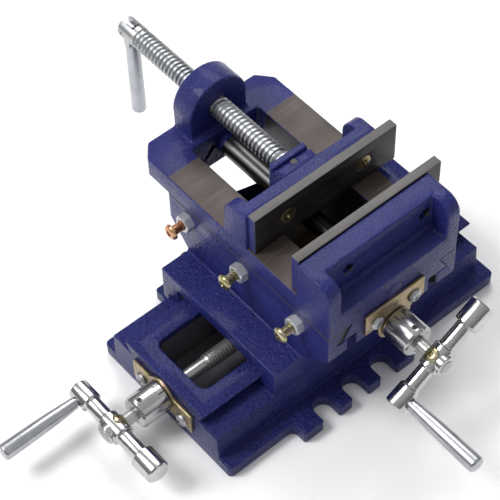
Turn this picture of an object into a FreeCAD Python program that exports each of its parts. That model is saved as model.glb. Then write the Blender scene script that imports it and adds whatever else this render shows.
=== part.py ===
import FreeCAD, Part
import os
import re
import Sketcher

# Cross slide vise, 4 inch class. Millimetres, +Z up.
# The origin is the middle of the base's underside. X runs along the base slide, with its crank
# at the -X end. Y runs along the cross slide and the jaws, with its crank at the -Y end.

doc = FreeCAD.newDocument("cross_slide_vise")
sizes = doc.addObject("Spreadsheet::Sheet", "sizes")

# Driving dimensions: alias and value or formula. Formulas read the aliases above them.
SIZES = [
    # fits
    ("running", 0.05),          # radial or side clearance of a shaft or slide
    ("fit_gap", 0.03),          # clearance of pieces that are fixed together
    ("air", 0.3),               # gap between parts that pass each other
    # base casting
    ("base_length", 200), ("base_width", 111), ("flange_height", 9), ("flange_corner", 3),
    ("tab_depth", 10), ("tab_outer", 14), ("tab_inner", 9.5), ("slot_width", 12),
    ("slot_depth", 13.5), ("tab_pattern_x", -13.5), ("tab_root", 4), ("tab_corner", 1.5),
    ("ledge_top", 27.5), ("ledge_width", 90), ("ledge_draft", 1.2), ("ledge_end_inset", 5),
    ("way_top", 35), ("way_width", 68), ("base_web", 5),
    ("end_wall", 11.5), ("far_wall", 20), ("pit_width", 41), ("pit_corner", 5),
    # dovetails lean 60 degrees from the horizontal
    ("lean", 0.57735),
    # lead screws, dials and cranks, the same on both slides
    ("shaft_radius", 4), ("thread_radius", 5), ("thrust_radius", 6.8), ("thrust_length", 4),
    ("plate_height", 15.6), ("plate_thick", 2), ("plate_hump", 11.5),
    ("plate_flare", 4), ("plate_screw_radius", 2),
    ("plate_head_radius", 4.2), ("plate_head_height", 2.6), ("plate_screw_length", 10),
    ("dial_radius", 9.7), ("dial_length", 18.5), ("dial_screw_radius", 1.5),
    ("hub_place", 32), ("hub_radius", 6.5), ("hub_half", 7), ("rod_radius", 4.4),
    ("grip_arm", 27), ("weight_arm", 36), ("weight_radius", 7), ("grip_length", 49),
    ("grip_small", 4.3), ("grip_large", 5), ("axle_radius", 2.5), ("axle_depth", 32),
    ("hub_screw_radius", 2.2), ("peen_length", 1.4),
    # base lead screw
    ("base_axis", 21.5), ("screw_end_gap", 10), ("base_thread_start", 31),
    ("base_strip_length", 50), ("base_strip_drop", 2), ("base_screw_drop", 4.5),
    ("base_screw_pitch", 35),
    # saddle
    ("saddle_shift", 6.5), ("saddle_length", 131), ("saddle_top", 47.5), ("saddle_far", 51.5),
    ("skirt_bottom", 21), ("skirt_gap", 0.8), ("saddle_relief", 38), ("base_gib", 4),
    ("rail_width", 92), ("rail_front", -65.5), ("rail_rear", 66), ("rail_under", 64),
    ("parting", 85), ("dovetail_depth", 11.5), ("dovetail_top", 33), ("cross_gib", 4),
    ("channel_width", 64), ("channel_floor", 49.5), ("male_lift", 0.5),
    ("gib_screw_radius", 2.9), ("gib_screw_z", 76), ("gib_screw_end", 19.75), ("gib_screw_shift", 3.3),
    ("gib_nut_across", 10), ("gib_nut_height", 5), ("gib_screw_out", 14.5),
    ("gib_head_radius", 4.8), ("gib_head_height", 3), ("base_gib_screw_z", 31),
    ("dog_radius", 1.2), ("dog_reach", 0.75),
    ("base_gib_screw_end", 22), ("base_gib_screw_out", 9),
    # lead screw nuts
    ("base_nut_x", 20), ("base_nut_length", 24), ("base_nut_width", 22), ("base_nut_bottom", 11),
    ("spigot_radius", 8), ("spigot_height", 4), ("nut_screw_radius", 2.9),
    ("nut_head_radius", 5), ("nut_head_height", 4), ("nut_head_sink", 4.3),
    ("cross_nut_y", -8), ("cross_nut_length", 24), ("cross_nut_width", 22),
    ("cross_nut_top", 70), ("cross_nut_foot", 8), ("cross_nut_foot_length", 46),
    ("cross_nut_screw_pitch", 33),
    # vise body
    ("body_top", 98.5), ("body_rear", 92), ("body_shoulder", 83), ("body_rear_half", 38.5),
    ("way_gap", 48), ("opening_front", -34.5), ("opening_rear", 72),
    ("lug_length", 10), ("lug_width", 52), ("lug_bottom", 64), ("lug_hump", 11.5),
    ("cross_axis", 62), ("cross_screw_reach", 108.5), ("cross_thread_start", 14),
    ("cross_strip_length", 42), ("cross_strip_drop", 13.5), ("cross_screw_drop", 11),
    ("cross_screw_pitch", 27),
    ("cross_crank_angle", -29.5),
    ("arch_front", 76), ("arch_radius", 20), ("arch_foot_half", 18), ("spindle_z", 112.5),
    ("fixed_back", -40.3), ("fixed_wall", 12.5), ("jaw_rib", 9), ("jaw_top", 124.5),
    ("jaw_round", 10), ("pocket_floor", 100),
    ("guide_radius", 6), ("guide_z", 87), ("guide_rear", 84),
    # moving jaw and clamp screw
    ("jaw_front", -0.8), ("jaw_wall", 8.3), ("ear_depth", 17.3), ("ear_width", 8.5),
    ("moving_round", 9), ("jaw_boss_half", 12), ("jaw_boss_rear", 20.5), ("jaw_boss_top", 122.5),
    ("tongue_bottom", 78.5), ("spindle_radius", 6.5), ("journal_radius", 4.5),
    ("journal_depth", 14), ("groove_depth", 1.2), ("groove_width", 4.4), ("groove_place", 7),
    ("spindle_start", 21.2), ("spindle_end", 159.5), ("lever_pivot", 154), ("fork_slot", 5),
    ("fork_slot_depth", 11), ("lever_length", 67), ("lever_radius", 4.4), ("lever_neck", 8.5),
    ("lever_eye", 4.2),
    ("lever_pin_radius", 2), ("jaw_screw_radius", 2),
    # jaw plates
    ("plate_shift", 5.5), ("jaw_plate_length", 100), ("jaw_plate_thick", 5.5),
    ("jaw_plate_height", 27.3), ("jaw_plate_lift", 0.2), ("jaw_plate_screw_pitch", 54),
    ("jaw_plate_screw_radius", 2.5), ("jaw_plate_head_radius", 5), ("jaw_plate_head_depth", 3),
    ("jaw_plate_screw_length", 11), ("fixed_hole_radius", 3),
]
for row, (alias, size) in enumerate(SIZES, start=1):
    sizes.set(f"A{row}", alias)
    sizes.set(f"B{row}", str(size))
    sizes.setAlias(f"B{row}", alias)

# Places worked out from the driving dimensions
DERIVED = [
    ("way_foot", "way_width / 2 - (way_top - ledge_top) * lean"),
    ("male_bottom", "parting - dovetail_depth"),
    ("dovetail_run", "dovetail_depth * lean"),
    ("rail_half", "rail_width / 2"),
    ("base_plate_face", "base_length / 2 + plate_thick"),
    ("cross_plate_face", "plate_thick - rail_front"),
    ("jaw_plate_z", "body_top + jaw_plate_lift"),
    ("jaw_screw_z", "jaw_plate_z + jaw_plate_height / 2"),
    ("pit_near", "end_wall - base_length / 2"),
    ("pit_far", "base_length / 2 - far_wall"),
    ("pocket_back", "fixed_back - fixed_wall"),
    ("cross_gib_x", "dovetail_top - cross_gib"),
    ("base_screw_reach", "pit_far + base_plate_face - screw_end_gap"),
    ("base_screw_z", "base_axis - base_screw_drop"),
    ("cross_screw_z", "cross_axis + cross_screw_drop"),
    ("gib_screw_y", "( rail_rear + rail_front ) / 2 + gib_screw_shift"),
    ("gib_screw_pitch", "( rail_rear - rail_front ) / 2 - gib_screw_end"),
    ("base_gib_screw_pitch", "saddle_length / 2 - base_gib_screw_end"),
    ("cross_grip_x", "saddle_shift - grip_arm * cos(cross_crank_angle * 1deg)"),
    ("cross_grip_z", "cross_axis + grip_arm * sin(cross_crank_angle * 1deg)"),
]
for row, (alias, formula) in enumerate(DERIVED, start=len(SIZES) + 1):
    sizes.set(f"A{row}", alias)
    sizes.set(f"B{row}", "=" + formula)
    sizes.setAlias(f"B{row}", alias)
doc.recompute()

nodes = []


def link(formula):
    """Turn a formula in sheet words into one that other objects can read."""
    return re.sub(r"[A-Za-z_]\w*", lambda word: "sizes." + word.group(0), formula)


def bind(item, **formulas):
    for name, formula in formulas.items():
        item.setExpression(name.replace("__", "."), link(formula))


def place(item, x="0", y="0", z="0"):
    bind(item, Placement__Base__x=x, Placement__Base__y=y, Placement__Base__z=z)


AXIS_X = FreeCAD.Vector(1, 0, 0)
AXIS_Y = FreeCAD.Vector(0, 1, 0)
AXIS_Z = FreeCAD.Vector(0, 0, 1)
TURN = {"X": FreeCAD.Rotation(AXIS_Y, 90), "Y": FreeCAD.Rotation(AXIS_X, -90),
        "Z": FreeCAD.Rotation()}


def new_body(label):
    body = doc.addObject("PartDesign::Body", label)
    body.Label = label
    nodes.append(body)
    return body


def volume(body):
    doc.recompute()
    return body.Tip.Shape.Volume if body.Tip else 0.0


def check_cut(body, before, name):
    if volume(body) >= before - 1e-6:
        raise RuntimeError(f"{name} cuts nothing from {body.Label}")


def box(body, name, x, y, z, cut=False):
    """A block of a body from (low, high) pairs of formulas."""
    before = volume(body) if cut else 0.0
    kind = "PartDesign::SubtractiveBox" if cut else "PartDesign::AdditiveBox"
    block = body.newObject(kind, name)
    place(block, x[0], y[0], z[0])
    spans = [f"( {high} ) - ( {low} )" for low, high in (x, y, z)]
    bind(block, Length=spans[0], Width=spans[1], Height=spans[2])
    if cut:
        check_cut(body, before, name)
    return block


def rod(body, name, axis, start, length, radius, cut=False):
    """A round boss or bore of a body along X, Y or Z."""
    before = volume(body) if cut else 0.0
    kind = "PartDesign::SubtractiveCylinder" if cut else "PartDesign::AdditiveCylinder"
    round_bar = body.newObject(kind, name)
    round_bar.Placement = FreeCAD.Placement(FreeCAD.Vector(), TURN[axis])
    place(round_bar, *start)
    bind(round_bar, Radius=radius, Height=length)
    if cut:
        check_cut(body, before, name)
    return round_bar


def sketch_on(body, role, name, offset="0"):
    plane = next(item for item in body.Origin.OriginFeatures if item.Role == role)
    sketch = body.newObject("Sketcher::SketchObject", name)
    sketch.AttachmentSupport = (plane, [""])
    sketch.MapMode = "FlatFace"
    bind(sketch, AttachmentOffset__Base__z=offset)
    return sketch


def outline(sketch, points):
    """A closed outline of straight edges. Each corner is a pair of formulas."""
    count = len(points)
    start = FreeCAD.Vector(10, 0, 0)
    ring = [FreeCAD.Rotation(AXIS_Z, 360.0 * index / count).multVec(start)
            for index in range(count)]
    for index in range(count):
        sketch.addGeometry(Part.LineSegment(ring[index], ring[(index + 1) % count]), False)
    for index in range(count):
        following = (index + 1) % count
        sketch.addConstraint(Sketcher.Constraint("Coincident", index, 2, following, 1))
    for index, corner in enumerate(points):
        for kind, axis, formula in (("DistanceX", -2, corner[0]), ("DistanceY", -1, corner[1])):
            if formula == "0":
                sketch.addConstraint(Sketcher.Constraint("PointOnObject", index, 1, axis))
                continue
            number = sketch.addConstraint(Sketcher.Constraint(kind, -1, 1, index, 1, 1.0))
            sketch.setExpression(f"Constraints[{number}]", link(formula))


def extrude(body, role, name, points, length, cut=False, offset="0", middle=True, flip=False):
    """Pad or pocket an outline, about its plane unless middle is False."""
    before = volume(body) if cut else 0.0
    sketch = sketch_on(body, role, name + "_outline", offset)
    outline(sketch, points)
    feature = body.newObject("PartDesign::Pocket" if cut else "PartDesign::Pad", name)
    feature.Profile = sketch
    feature.Midplane = middle
    feature.Reversed = flip
    bind(feature, Length=length)
    if cut:
        check_cut(body, before, name)
    return feature


def revolve(body, name, axis, points):
    """Turn an outline about X or Y. Points are (place along the axis, radius) formulas."""
    sketch = sketch_on(body, "XY_Plane", name + "_profile")
    if axis == "Y":
        points = [(radius, along_axis) for along_axis, radius in points]
    outline(sketch, points)
    revolution = body.newObject("PartDesign::Revolution", name)
    revolution.Profile = sketch
    revolution.ReferenceAxis = (sketch, ["H_Axis" if axis == "X" else "V_Axis"])
    revolution.Angle = 360
    return revolution


def turn(body, name, axis, stations):
    """A solid turned piece. Stations are (place along the axis, radius) formulas."""
    return revolve(body, name, axis, [(stations[0][0], "0"), *stations, (stations[-1][0], "0")])


def dress(body, kind, name, size, test):
    """Round or bevel the edges of a body that pass a test on their middle point."""
    doc.recompute()
    base = body.Tip
    names = []
    for number, edge in enumerate(base.Shape.Edges, start=1):
        middle = edge.valueAt((edge.FirstParameter + edge.LastParameter) / 2)
        if test(edge, middle):
            names.append(f"Edge{number}")
    if not names:
        raise RuntimeError(f"{name} finds no edge on {body.Label}")
    feature = body.newObject(kind, name)
    feature.Base = (base, names)
    if kind == "PartDesign::Fillet":
        bind(feature, Radius=size)
    else:
        bind(feature, Size=size)
    return feature


def near(first, second, slack=0.02):
    return abs(first - second) < slack


def size_of(alias):
    return float(sizes.get(alias))


def along(edge, axis):
    """Whether an edge is straight and runs along an axis."""
    ends = [vertex.Point for vertex in edge.Vertexes]
    if len(ends) != 2:
        return False
    span = ends[1] - ends[0]
    return abs(abs(span.dot(axis)) - span.Length) < 1e-6 * max(span.Length, 1) and \
        abs(edge.Length - span.Length) < 1e-6


def plain_cylinder(name, axis, start, length, radius):
    bar = doc.addObject("Part::Cylinder", name)
    bar.Placement = FreeCAD.Placement(FreeCAD.Vector(), TURN[axis])
    place(bar, *start)
    bind(bar, Radius=radius, Height=length)
    return bar


def group(label, pieces):
    """Several equal fasteners in one node, each a solid of its own."""
    compound = doc.addObject("Part::Compound", label)
    compound.Label = label
    compound.Links = pieces
    nodes.append(compound)
    return compound


def fuse(name, pieces):
    joined = doc.addObject("Part::MultiFuse", name)
    joined.Shapes = pieces
    return joined


def make_base():
    base = new_body("base")
    half = "base_length / 2"
    side = "base_width / 2"
    box(base, "flange", (f"-{half}", half), (f"-{side}", side), ("0", "flange_height"))
    # ledge block with drafted walls, shorter than the flange at the +X end
    extrude(base, "YZ_Plane", "ledge_block",
            [("-ledge_width / 2 - ledge_draft", "flange_height"), ("-ledge_width / 2", "ledge_top"),
             ("ledge_width / 2", "ledge_top"), ("ledge_width / 2 + ledge_draft", "flange_height")],
            "base_length - ledge_end_inset", offset=f"-{half}", middle=False)
    # male dovetail way
    extrude(base, "YZ_Plane", "way",
            [("-way_foot", "ledge_top"), ("-way_width / 2", "way_top"),
             ("way_width / 2", "way_top"), ("way_foot", "ledge_top")],
            "base_length", offset=f"-{half}", middle=False)
    # strip on each side, cut by three U slots into four tabs
    pattern = "( tab_outer + tab_inner + 1.5 * slot_width )"
    for word, low, high in (("near", f"-{side} - tab_depth", f"-{side}"),
                            ("far", side, f"{side} + tab_depth")):
        box(base, "tabs_" + word, (f"tab_pattern_x - {pattern}", f"tab_pattern_x + {pattern}"),
            (low, high), ("0", "flange_height"))
    middle_y = f"{side} + tab_depth - slot_depth + slot_width / 2"
    edge_y = f"{side} + tab_depth + 1"
    for number in (-1, 0, 1):
        centre = f"tab_pattern_x + {number} * ( slot_width + tab_inner )"
        mouth_x = (f"{centre} - slot_width / 2", f"{centre} + slot_width / 2")
        name = f"slot_{number + 2}_"
        rod(base, name + "near", "Z", (centre, f"-( {middle_y} )", "-1"), "flange_height + 2",
            "slot_width / 2", cut=True)
        box(base, name + "near_mouth", mouth_x, (f"-( {edge_y} )", f"-( {middle_y} )"),
            ("-1", "flange_height + 1"), cut=True)
        rod(base, name + "far", "Z", (centre, middle_y, "-1"), "flange_height + 2",
            "slot_width / 2", cut=True)
        box(base, name + "far_mouth", mouth_x, (middle_y, edge_y),
            ("-1", "flange_height + 1"), cut=True)
    # pit between the ways, round the lead screw
    box(base, "pit", ("pit_near", "pit_far"), ("-pit_width / 2", "pit_width / 2"),
        ("base_web", "way_top + 1"), cut=True)
    dress(base, "PartDesign::Fillet", "pit_corners", "pit_corner",
          lambda edge, middle: along(edge, AXIS_Z) and near(abs(middle.y), size_of("pit_width") / 2)
          and (near(middle.x, size_of("pit_near")) or near(middle.x, size_of("pit_far"))))
    # bore and thrust seat of the lead screw, and the holes of its plate
    rod(base, "screw_bore", "X", (f"-{half} - 1", "0", "base_axis"), "end_wall + 2",
        "shaft_radius + running", cut=True)
    rod(base, "thrust_seat", "X", (f"-{half} - 1", "0", "base_axis"), "thrust_length + 1 + running",
        "thrust_radius + running", cut=True)
    for word, sign in (("near", "-"), ("far", "")):
        rod(base, "plate_hole_" + word, "X",
            (f"-{half} - 1", f"{sign}base_screw_pitch / 2", "base_screw_z"),
            "plate_screw_length + 1", "plate_screw_radius + fit_gap", cut=True)
    reach = size_of("base_width") / 2 + size_of("tab_depth")
    foot = size_of("base_width") / 2
    first = size_of("tab_pattern_x") - size_of("tab_outer") - size_of("tab_inner") \
        - 1.5 * size_of("slot_width")
    last = 2 * size_of("tab_pattern_x") - first
    dress(base, "PartDesign::Fillet", "tab_roots", "tab_root",
          lambda edge, middle: along(edge, AXIS_Z) and near(abs(middle.y), foot)
          and (near(middle.x, first) or near(middle.x, last)))
    dress(base, "PartDesign::Fillet", "tab_corners", "tab_corner",
          lambda edge, middle: along(edge, AXIS_Z) and near(abs(middle.y), reach))
    dress(base, "PartDesign::Fillet", "flange_corners", "flange_corner",
          lambda edge, middle: along(edge, AXIS_Z) and near(abs(middle.y), foot)
          and near(abs(middle.x), size_of("base_length") / 2))


def make_saddle():
    saddle = new_body("saddle")
    place(saddle, "saddle_shift")
    bridge = "saddle_relief"
    flank_far = "way_foot + base_gib + 2 * running"
    shoulder = "way_width / 2 + base_gib + 2 * running"
    # lower block on the base ways, with the skirt that carries the gib screws
    extrude(saddle, "YZ_Plane", "lower_block",
            [("-ledge_width / 2", "ledge_top"), ("-ledge_width / 2", "saddle_top"),
             ("saddle_far", "saddle_top"), ("saddle_far", "skirt_bottom"),
             ("ledge_width / 2 + skirt_gap", "skirt_bottom"),
             ("ledge_width / 2 + skirt_gap", "ledge_top"), (flank_far, "ledge_top"),
             (shoulder, "way_top"), (shoulder, bridge),
             ("-way_width / 2 - running", bridge), ("-way_width / 2 - running", "way_top"),
             ("-way_foot - running", "ledge_top")],
            "saddle_length")
    # upper block with its sloped ends
    extrude(saddle, "YZ_Plane", "upper_block",
            [("rail_front", "parting"), ("rail_rear", "parting"), ("rail_rear", "rail_under"),
             ("saddle_far", "saddle_top"), ("saddle_far", "saddle_top - 2"),
             ("-ledge_width / 2", "saddle_top - 2"), ("-ledge_width / 2", "saddle_top"),
             ("rail_front", "rail_under")],
            "rail_width")
    # female dovetail and the channel below it
    right_top = "dovetail_top + running"
    right_bottom = "dovetail_top + running + dovetail_run"
    extrude(saddle, "XZ_Plane", "dovetail",
            [(f"-( {right_top} ) - running", "parting"),
             (f"-( {right_bottom} ) - running", "male_bottom"),
             ("-channel_width / 2", "male_bottom"), ("-channel_width / 2", "channel_floor"),
             ("channel_width / 2", "channel_floor"), ("channel_width / 2", "male_bottom"),
             (right_bottom, "male_bottom"), (right_top, "parting")],
            "4 * rail_rear", cut=True)
    # gib screw holes of the cross slide, through the -X rail
    for number in (-1, 0, 1):
        rod(saddle, f"gib_hole_{number + 2}", "X",
            ("-rail_half - 1", f"gib_screw_y + {number} * gib_screw_pitch", "gib_screw_z"),
            "rail_half - dovetail_top", "gib_screw_radius + fit_gap", cut=True)
        rod(saddle, f"base_gib_hole_{number + 2}", "Y",
            (f"{number} * base_gib_screw_pitch", "way_foot", "base_gib_screw_z"),
            "saddle_far - way_foot + 1", "gib_screw_radius + fit_gap", cut=True)
    # seats of the two lead screw nuts
    rod(saddle, "spigot_seat", "Z", ("base_nut_x", "0", "saddle_relief - 1"),
        "spigot_height + 1 + fit_gap", "spigot_radius + fit_gap", cut=True)
    rod(saddle, "base_nut_screw_hole", "Z", ("base_nut_x", "0", "saddle_relief - 1"),
        "channel_floor - saddle_relief + 2", "nut_screw_radius + fit_gap", cut=True)
    rod(saddle, "base_nut_screw_sink", "Z", ("base_nut_x", "0", "channel_floor - nut_head_sink"),
        "nut_head_sink + 1", "nut_head_radius + fit_gap", cut=True)
    for word, sign in (("left", "-"), ("right", "+")):
        rod(saddle, "cross_nut_hole_" + word, "Z",
            (f"0 {sign} cross_nut_screw_pitch / 2", "cross_nut_y", "channel_floor - 8"),
            "9", "nut_screw_radius + fit_gap", cut=True)


def make_vise_body():
    body = new_body("vise_body")
    place(body, "saddle_shift")
    extrude(body, "XY_Plane", "slab",
            [("-rail_half", "rail_front"), ("rail_half", "rail_front"),
             ("rail_half", "body_shoulder"), ("body_rear_half", "body_rear"),
             ("-body_rear_half", "body_rear"), ("-rail_half", "body_shoulder")],
            "body_top - parting", offset="parting", middle=False)
    # male dovetail, narrower by the gib on the -X side
    extrude(body, "XZ_Plane", "male_dovetail",
            [("-cross_gib_x", "parting"), ("dovetail_top", "parting"),
             ("dovetail_top + dovetail_run - male_lift * lean", "male_bottom + male_lift"),
             ("-cross_gib_x - dovetail_run + male_lift * lean", "male_bottom + male_lift")],
            "body_rear - rail_front", offset="-body_rear", middle=False)
    # lug that carries the cross lead screw
    box(body, "lug", ("-lug_width / 2", "lug_width / 2"), ("rail_front", "rail_front + lug_length"),
        ("lug_bottom", "male_bottom + male_lift + 1"))
    rod(body, "lug_hump", "Y", ("0", "rail_front", "cross_axis"), "lug_length", "lug_hump")
    # fixed jaw
    box(body, "fixed_jaw", ("-rail_half", "rail_half"), ("rail_front", "fixed_back"),
        ("body_top - 1", "jaw_top"))
    dress(body, "PartDesign::Fillet", "fixed_jaw_round", "jaw_round",
          lambda edge, middle: along(edge, AXIS_X) and near(middle.y, size_of("rail_front"))
          and near(middle.z, size_of("jaw_top")))
    pocket_half = "rail_half - jaw_rib"
    box(body, "front_pocket", (f"-( {pocket_half} )", pocket_half),
        ("rail_front - 1", "pocket_back"), ("pocket_floor", "jaw_top + 1"), cut=True)
    # screw nut housing on the yoke
    rod(body, "arch", "Y", ("0", "arch_front", "spindle_z"), "body_rear - arch_front",
        "arch_radius")
    box(body, "arch_foot", ("-arch_foot_half", "arch_foot_half"), ("arch_front", "body_rear"),
        ("body_top - 1", "spindle_z"))
    # opening between the ways
    box(body, "way_opening", ("-way_gap / 2", "way_gap / 2"), ("opening_front", "opening_rear"),
        ("male_bottom - 1", "body_top + 1"), cut=True)
    # bores
    rod(body, "spindle_bore", "Y", ("0", "arch_front - 1", "spindle_z"),
        "body_rear - arch_front + 2", "spindle_radius + running", cut=True)
    rod(body, "guide_bore", "Y", ("0", "rail_front - 1", "guide_z"),
        "guide_rear - rail_front + 1 + fit_gap", "guide_radius + fit_gap", cut=True)
    rod(body, "screw_bore", "Y", ("0", "rail_front - 1", "cross_axis"), "lug_length + 2",
        "shaft_radius + running", cut=True)
    rod(body, "thrust_seat", "Y", ("0", "rail_front - 1", "cross_axis"),
        "thrust_length + 1 + running", "thrust_radius + running", cut=True)
    for word, sign in (("left", "-"), ("right", "")):
        rod(body, "plate_hole_" + word, "Y",
            (f"{sign}cross_screw_pitch / 2", "rail_front - 1", "cross_screw_z"),
            "lug_length + 2", "plate_screw_radius + fit_gap", cut=True)
        hole_x = f"plate_shift {sign or '+'} jaw_plate_screw_pitch / 2"
        rod(body, "jaw_hole_" + word, "Y", (hole_x, "pocket_back - 1", "jaw_screw_z"),
            "fixed_wall + 2", "fixed_hole_radius", cut=True)


def make_moving_jaw():
    jaw = new_body("moving_jaw")
    place(jaw, "saddle_shift")
    box(jaw, "jaw_block", ("-rail_half", "rail_half"), ("jaw_front", "ear_depth"),
        ("body_top", "jaw_top"))
    dress(jaw, "PartDesign::Fillet", "back_round", "moving_round",
          lambda edge, middle: along(edge, AXIS_X) and near(middle.y, size_of("ear_depth"))
          and near(middle.z, size_of("jaw_top")))
    for word, low, high in (("left", "-rail_half + ear_width", "-jaw_boss_half"),
                            ("right", "jaw_boss_half", "rail_half - ear_width")):
        box(jaw, "back_pocket_" + word, (low, high), ("jaw_front + jaw_wall", "ear_depth + 1"),
            ("pocket_floor + 2", "jaw_top + 1"), cut=True)
    box(jaw, "top_trim", ("-jaw_boss_half", "jaw_boss_half"),
        ("jaw_front + jaw_wall", "ear_depth + 1"), ("jaw_boss_top", "jaw_top + 1"), cut=True)
    box(jaw, "boss", ("-jaw_boss_half", "jaw_boss_half"), ("ear_depth - 1", "jaw_boss_rear"),
        ("body_top + air", "jaw_boss_top"))
    # tongue between the ways, on the guide bar
    box(jaw, "tongue", ("-way_gap / 2 + air", "way_gap / 2 - air"), ("jaw_front", "ear_depth"),
        ("tongue_bottom", "body_top + 1"))
    rod(jaw, "guide_bore", "Y", ("0", "jaw_front - 1", "guide_z"), "ear_depth - jaw_front + 2",
        "guide_radius + running", cut=True)
    rod(jaw, "journal_bore", "Y", ("0", "jaw_boss_rear - journal_depth", "spindle_z"),
        "journal_depth + 1", "journal_radius + running", cut=True)
    rod(jaw, "set_screw_hole", "Z", ("0", "jaw_boss_rear - groove_place", "spindle_z"),
        "jaw_boss_top - spindle_z + 1", "jaw_screw_radius + fit_gap", cut=True)
    for word, sign in (("left", "-"), ("right", "+")):
        rod(jaw, "plate_hole_" + word, "Y",
            (f"plate_shift {sign} jaw_plate_screw_pitch / 2", "jaw_front - 1", "jaw_screw_z"),
            "jaw_wall + 2", "jaw_plate_screw_radius + fit_gap", cut=True)


def make_jaw_plate(label, toward):
    """A ground jaw plate between two Y places."""
    plate = new_body(label)
    place(plate, "saddle_shift + plate_shift")
    half = "jaw_plate_length / 2"
    box(plate, "block", (f"-{half}", half), toward,
        ("jaw_plate_z", "jaw_plate_z + jaw_plate_height"))
    fixed = label.startswith("fixed")
    for word, sign in (("left", "-"), ("right", "")):
        centre = f"{sign}jaw_plate_screw_pitch / 2"
        rod(plate, "hole_" + word, "Y", (centre, f"{toward[0]} - 1", "jaw_screw_z"),
            "jaw_plate_thick + 2", "jaw_plate_screw_radius + fit_gap", cut=True)
        sink_y = f"{toward[1]} - jaw_plate_head_depth" if fixed else f"{toward[0]} - 1"
        rod(plate, "sink_" + word, "Y", (centre, sink_y, "jaw_screw_z"),
            "jaw_plate_head_depth + 1", "jaw_plate_head_radius + fit_gap", cut=True)


def make_jaw_plate_screws(label, fixed):
    """Two screws sunk in a plate, heads toward the jaw gap."""
    pieces = []
    if fixed:
        head_y = "fixed_back + jaw_plate_thick - jaw_plate_head_depth + fit_gap"
        shank_y = "fixed_back + jaw_plate_thick - jaw_plate_screw_length"
    else:
        head_y = "jaw_front - jaw_plate_thick"
        shank_y = "jaw_front - jaw_plate_thick + jaw_plate_head_depth - 1"
    for word, sign in (("left", "-"), ("right", "+")):
        centre = f"saddle_shift + plate_shift {sign} jaw_plate_screw_pitch / 2"
        head = plain_cylinder(f"{label}_head_{word}", "Y", (centre, head_y, "jaw_screw_z"),
                              "jaw_plate_head_depth - 2 * fit_gap", "jaw_plate_head_radius")
        shank = plain_cylinder(f"{label}_shank_{word}", "Y", (centre, shank_y, "jaw_screw_z"),
                               "jaw_plate_screw_length - 1", "jaw_plate_screw_radius")
        pieces.append(fuse(f"{label}_{word}", [head, shank]))
    group(label, pieces)


def make_clamp_screw():
    """The spindle, with the groove of its journal and the fork for the lever."""
    spindle = new_body("clamp_screw")
    place(spindle, "saddle_shift", "0", "spindle_z")
    journal_end = "jaw_boss_rear - journal_depth + air"
    groove = "jaw_boss_rear - groove_place"
    turn(spindle, "turned", "Y",
         [(journal_end, "journal_radius"), (f"{groove} - groove_width / 2", "journal_radius"),
          (f"{groove} - groove_width / 2", "journal_radius - groove_depth"),
          (f"{groove} + groove_width / 2", "journal_radius - groove_depth"),
          (f"{groove} + groove_width / 2", "journal_radius"), ("spindle_start", "journal_radius"),
          ("spindle_start", "spindle_radius"), ("spindle_end - 1", "spindle_radius"),
          ("spindle_end", "spindle_radius - 1")])
    slot_half = "fork_slot / 2"
    box(spindle, "fork_slot_cut", (f"-{slot_half}", slot_half),
        ("spindle_end - fork_slot_depth", "spindle_end + 1"),
        ("-spindle_radius - 1", "spindle_radius + 1"), cut=True)
    rod(spindle, "pin_hole", "X", ("-spindle_radius - 1", "lever_pivot", "0"),
        "2 * spindle_radius + 2", "lever_pin_radius + fit_gap", cut=True)
    # lever that hangs from its pin
    lever = new_body("clamp_lever")
    place(lever, "saddle_shift", "lever_pivot", "spindle_z")
    rod(lever, "bar", "Z", ("0", "0", "-lever_length"), "lever_length - lever_neck",
        "lever_radius")
    tongue_half = "fork_slot / 2 - running"
    box(lever, "tongue", (f"-( {tongue_half} )", tongue_half),
        ("-lever_eye", "lever_eye"), ("-lever_neck - 2", "0"))
    rod(lever, "eye", "X", (f"-( {tongue_half} )", "0", "0"), f"2 * ( {tongue_half} )",
        "lever_eye")
    rod(lever, "pin_hole", "X", ("-fork_slot", "0", "0"), "2 * fork_slot",
        "lever_pin_radius + running", cut=True)
    pin = plain_cylinder("lever_pin", "X",
                         ("saddle_shift - spindle_radius + 0.3", "lever_pivot", "spindle_z"),
                         "2 * spindle_radius - 0.6", "lever_pin_radius")
    nodes.append(pin)
    guide = plain_cylinder("guide_bar", "Y", ("saddle_shift", "rail_front", "guide_z"),
                           "guide_rear - rail_front", "guide_radius")
    nodes.append(guide)
    tip = "spindle_z + journal_radius - groove_depth + 2 * running"
    screw = plain_cylinder("spindle_set_screw", "Z",
                           ("saddle_shift", "jaw_boss_rear - groove_place", tip),
                           f"jaw_boss_top - 1 - ( {tip} )", "jaw_screw_radius")
    nodes.append(screw)


class Slide:
    """Where the lead screw of one slide sits: its axis, the way it points and its sizes."""

    def __init__(self, word, rotation, start, step, reach, thread_start, grip_seat):
        self.word = word
        self.grip_seat = grip_seat
        self.rotation = rotation
        self.start = start
        self.step = step
        self.reach = reach
        self.thread_start = thread_start

    def seat(self, item, inward="0", extra=None):
        """Place an item at a distance inward of the retaining plate's face."""
        turned = self.rotation.multiply(extra) if extra else self.rotation
        item.Placement = FreeCAD.Placement(FreeCAD.Vector(), turned)
        x, y, z = [f"{base} + {share} * ( {inward} )" if share else base
                   for base, share in zip(self.start, self.step)]
        place(item, x, y, z)


BASE_SLIDE = Slide("base", FreeCAD.Rotation(), ("-base_plate_face", "0", "base_axis"), (1, 0, 0),
                   "base_screw_reach", "base_thread_start",
                   ("-base_plate_face - hub_place", "grip_arm", "base_axis"))
CROSS_SLIDE = Slide("cross", FreeCAD.Rotation(AXIS_Z, 90),
                    ("saddle_shift", "-cross_plate_face", "cross_axis"), (0, 1, 0),
                    "cross_screw_reach", "cross_thread_start",
                    ("cross_grip_x", "-cross_plate_face - hub_place", "cross_grip_z"))


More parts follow.
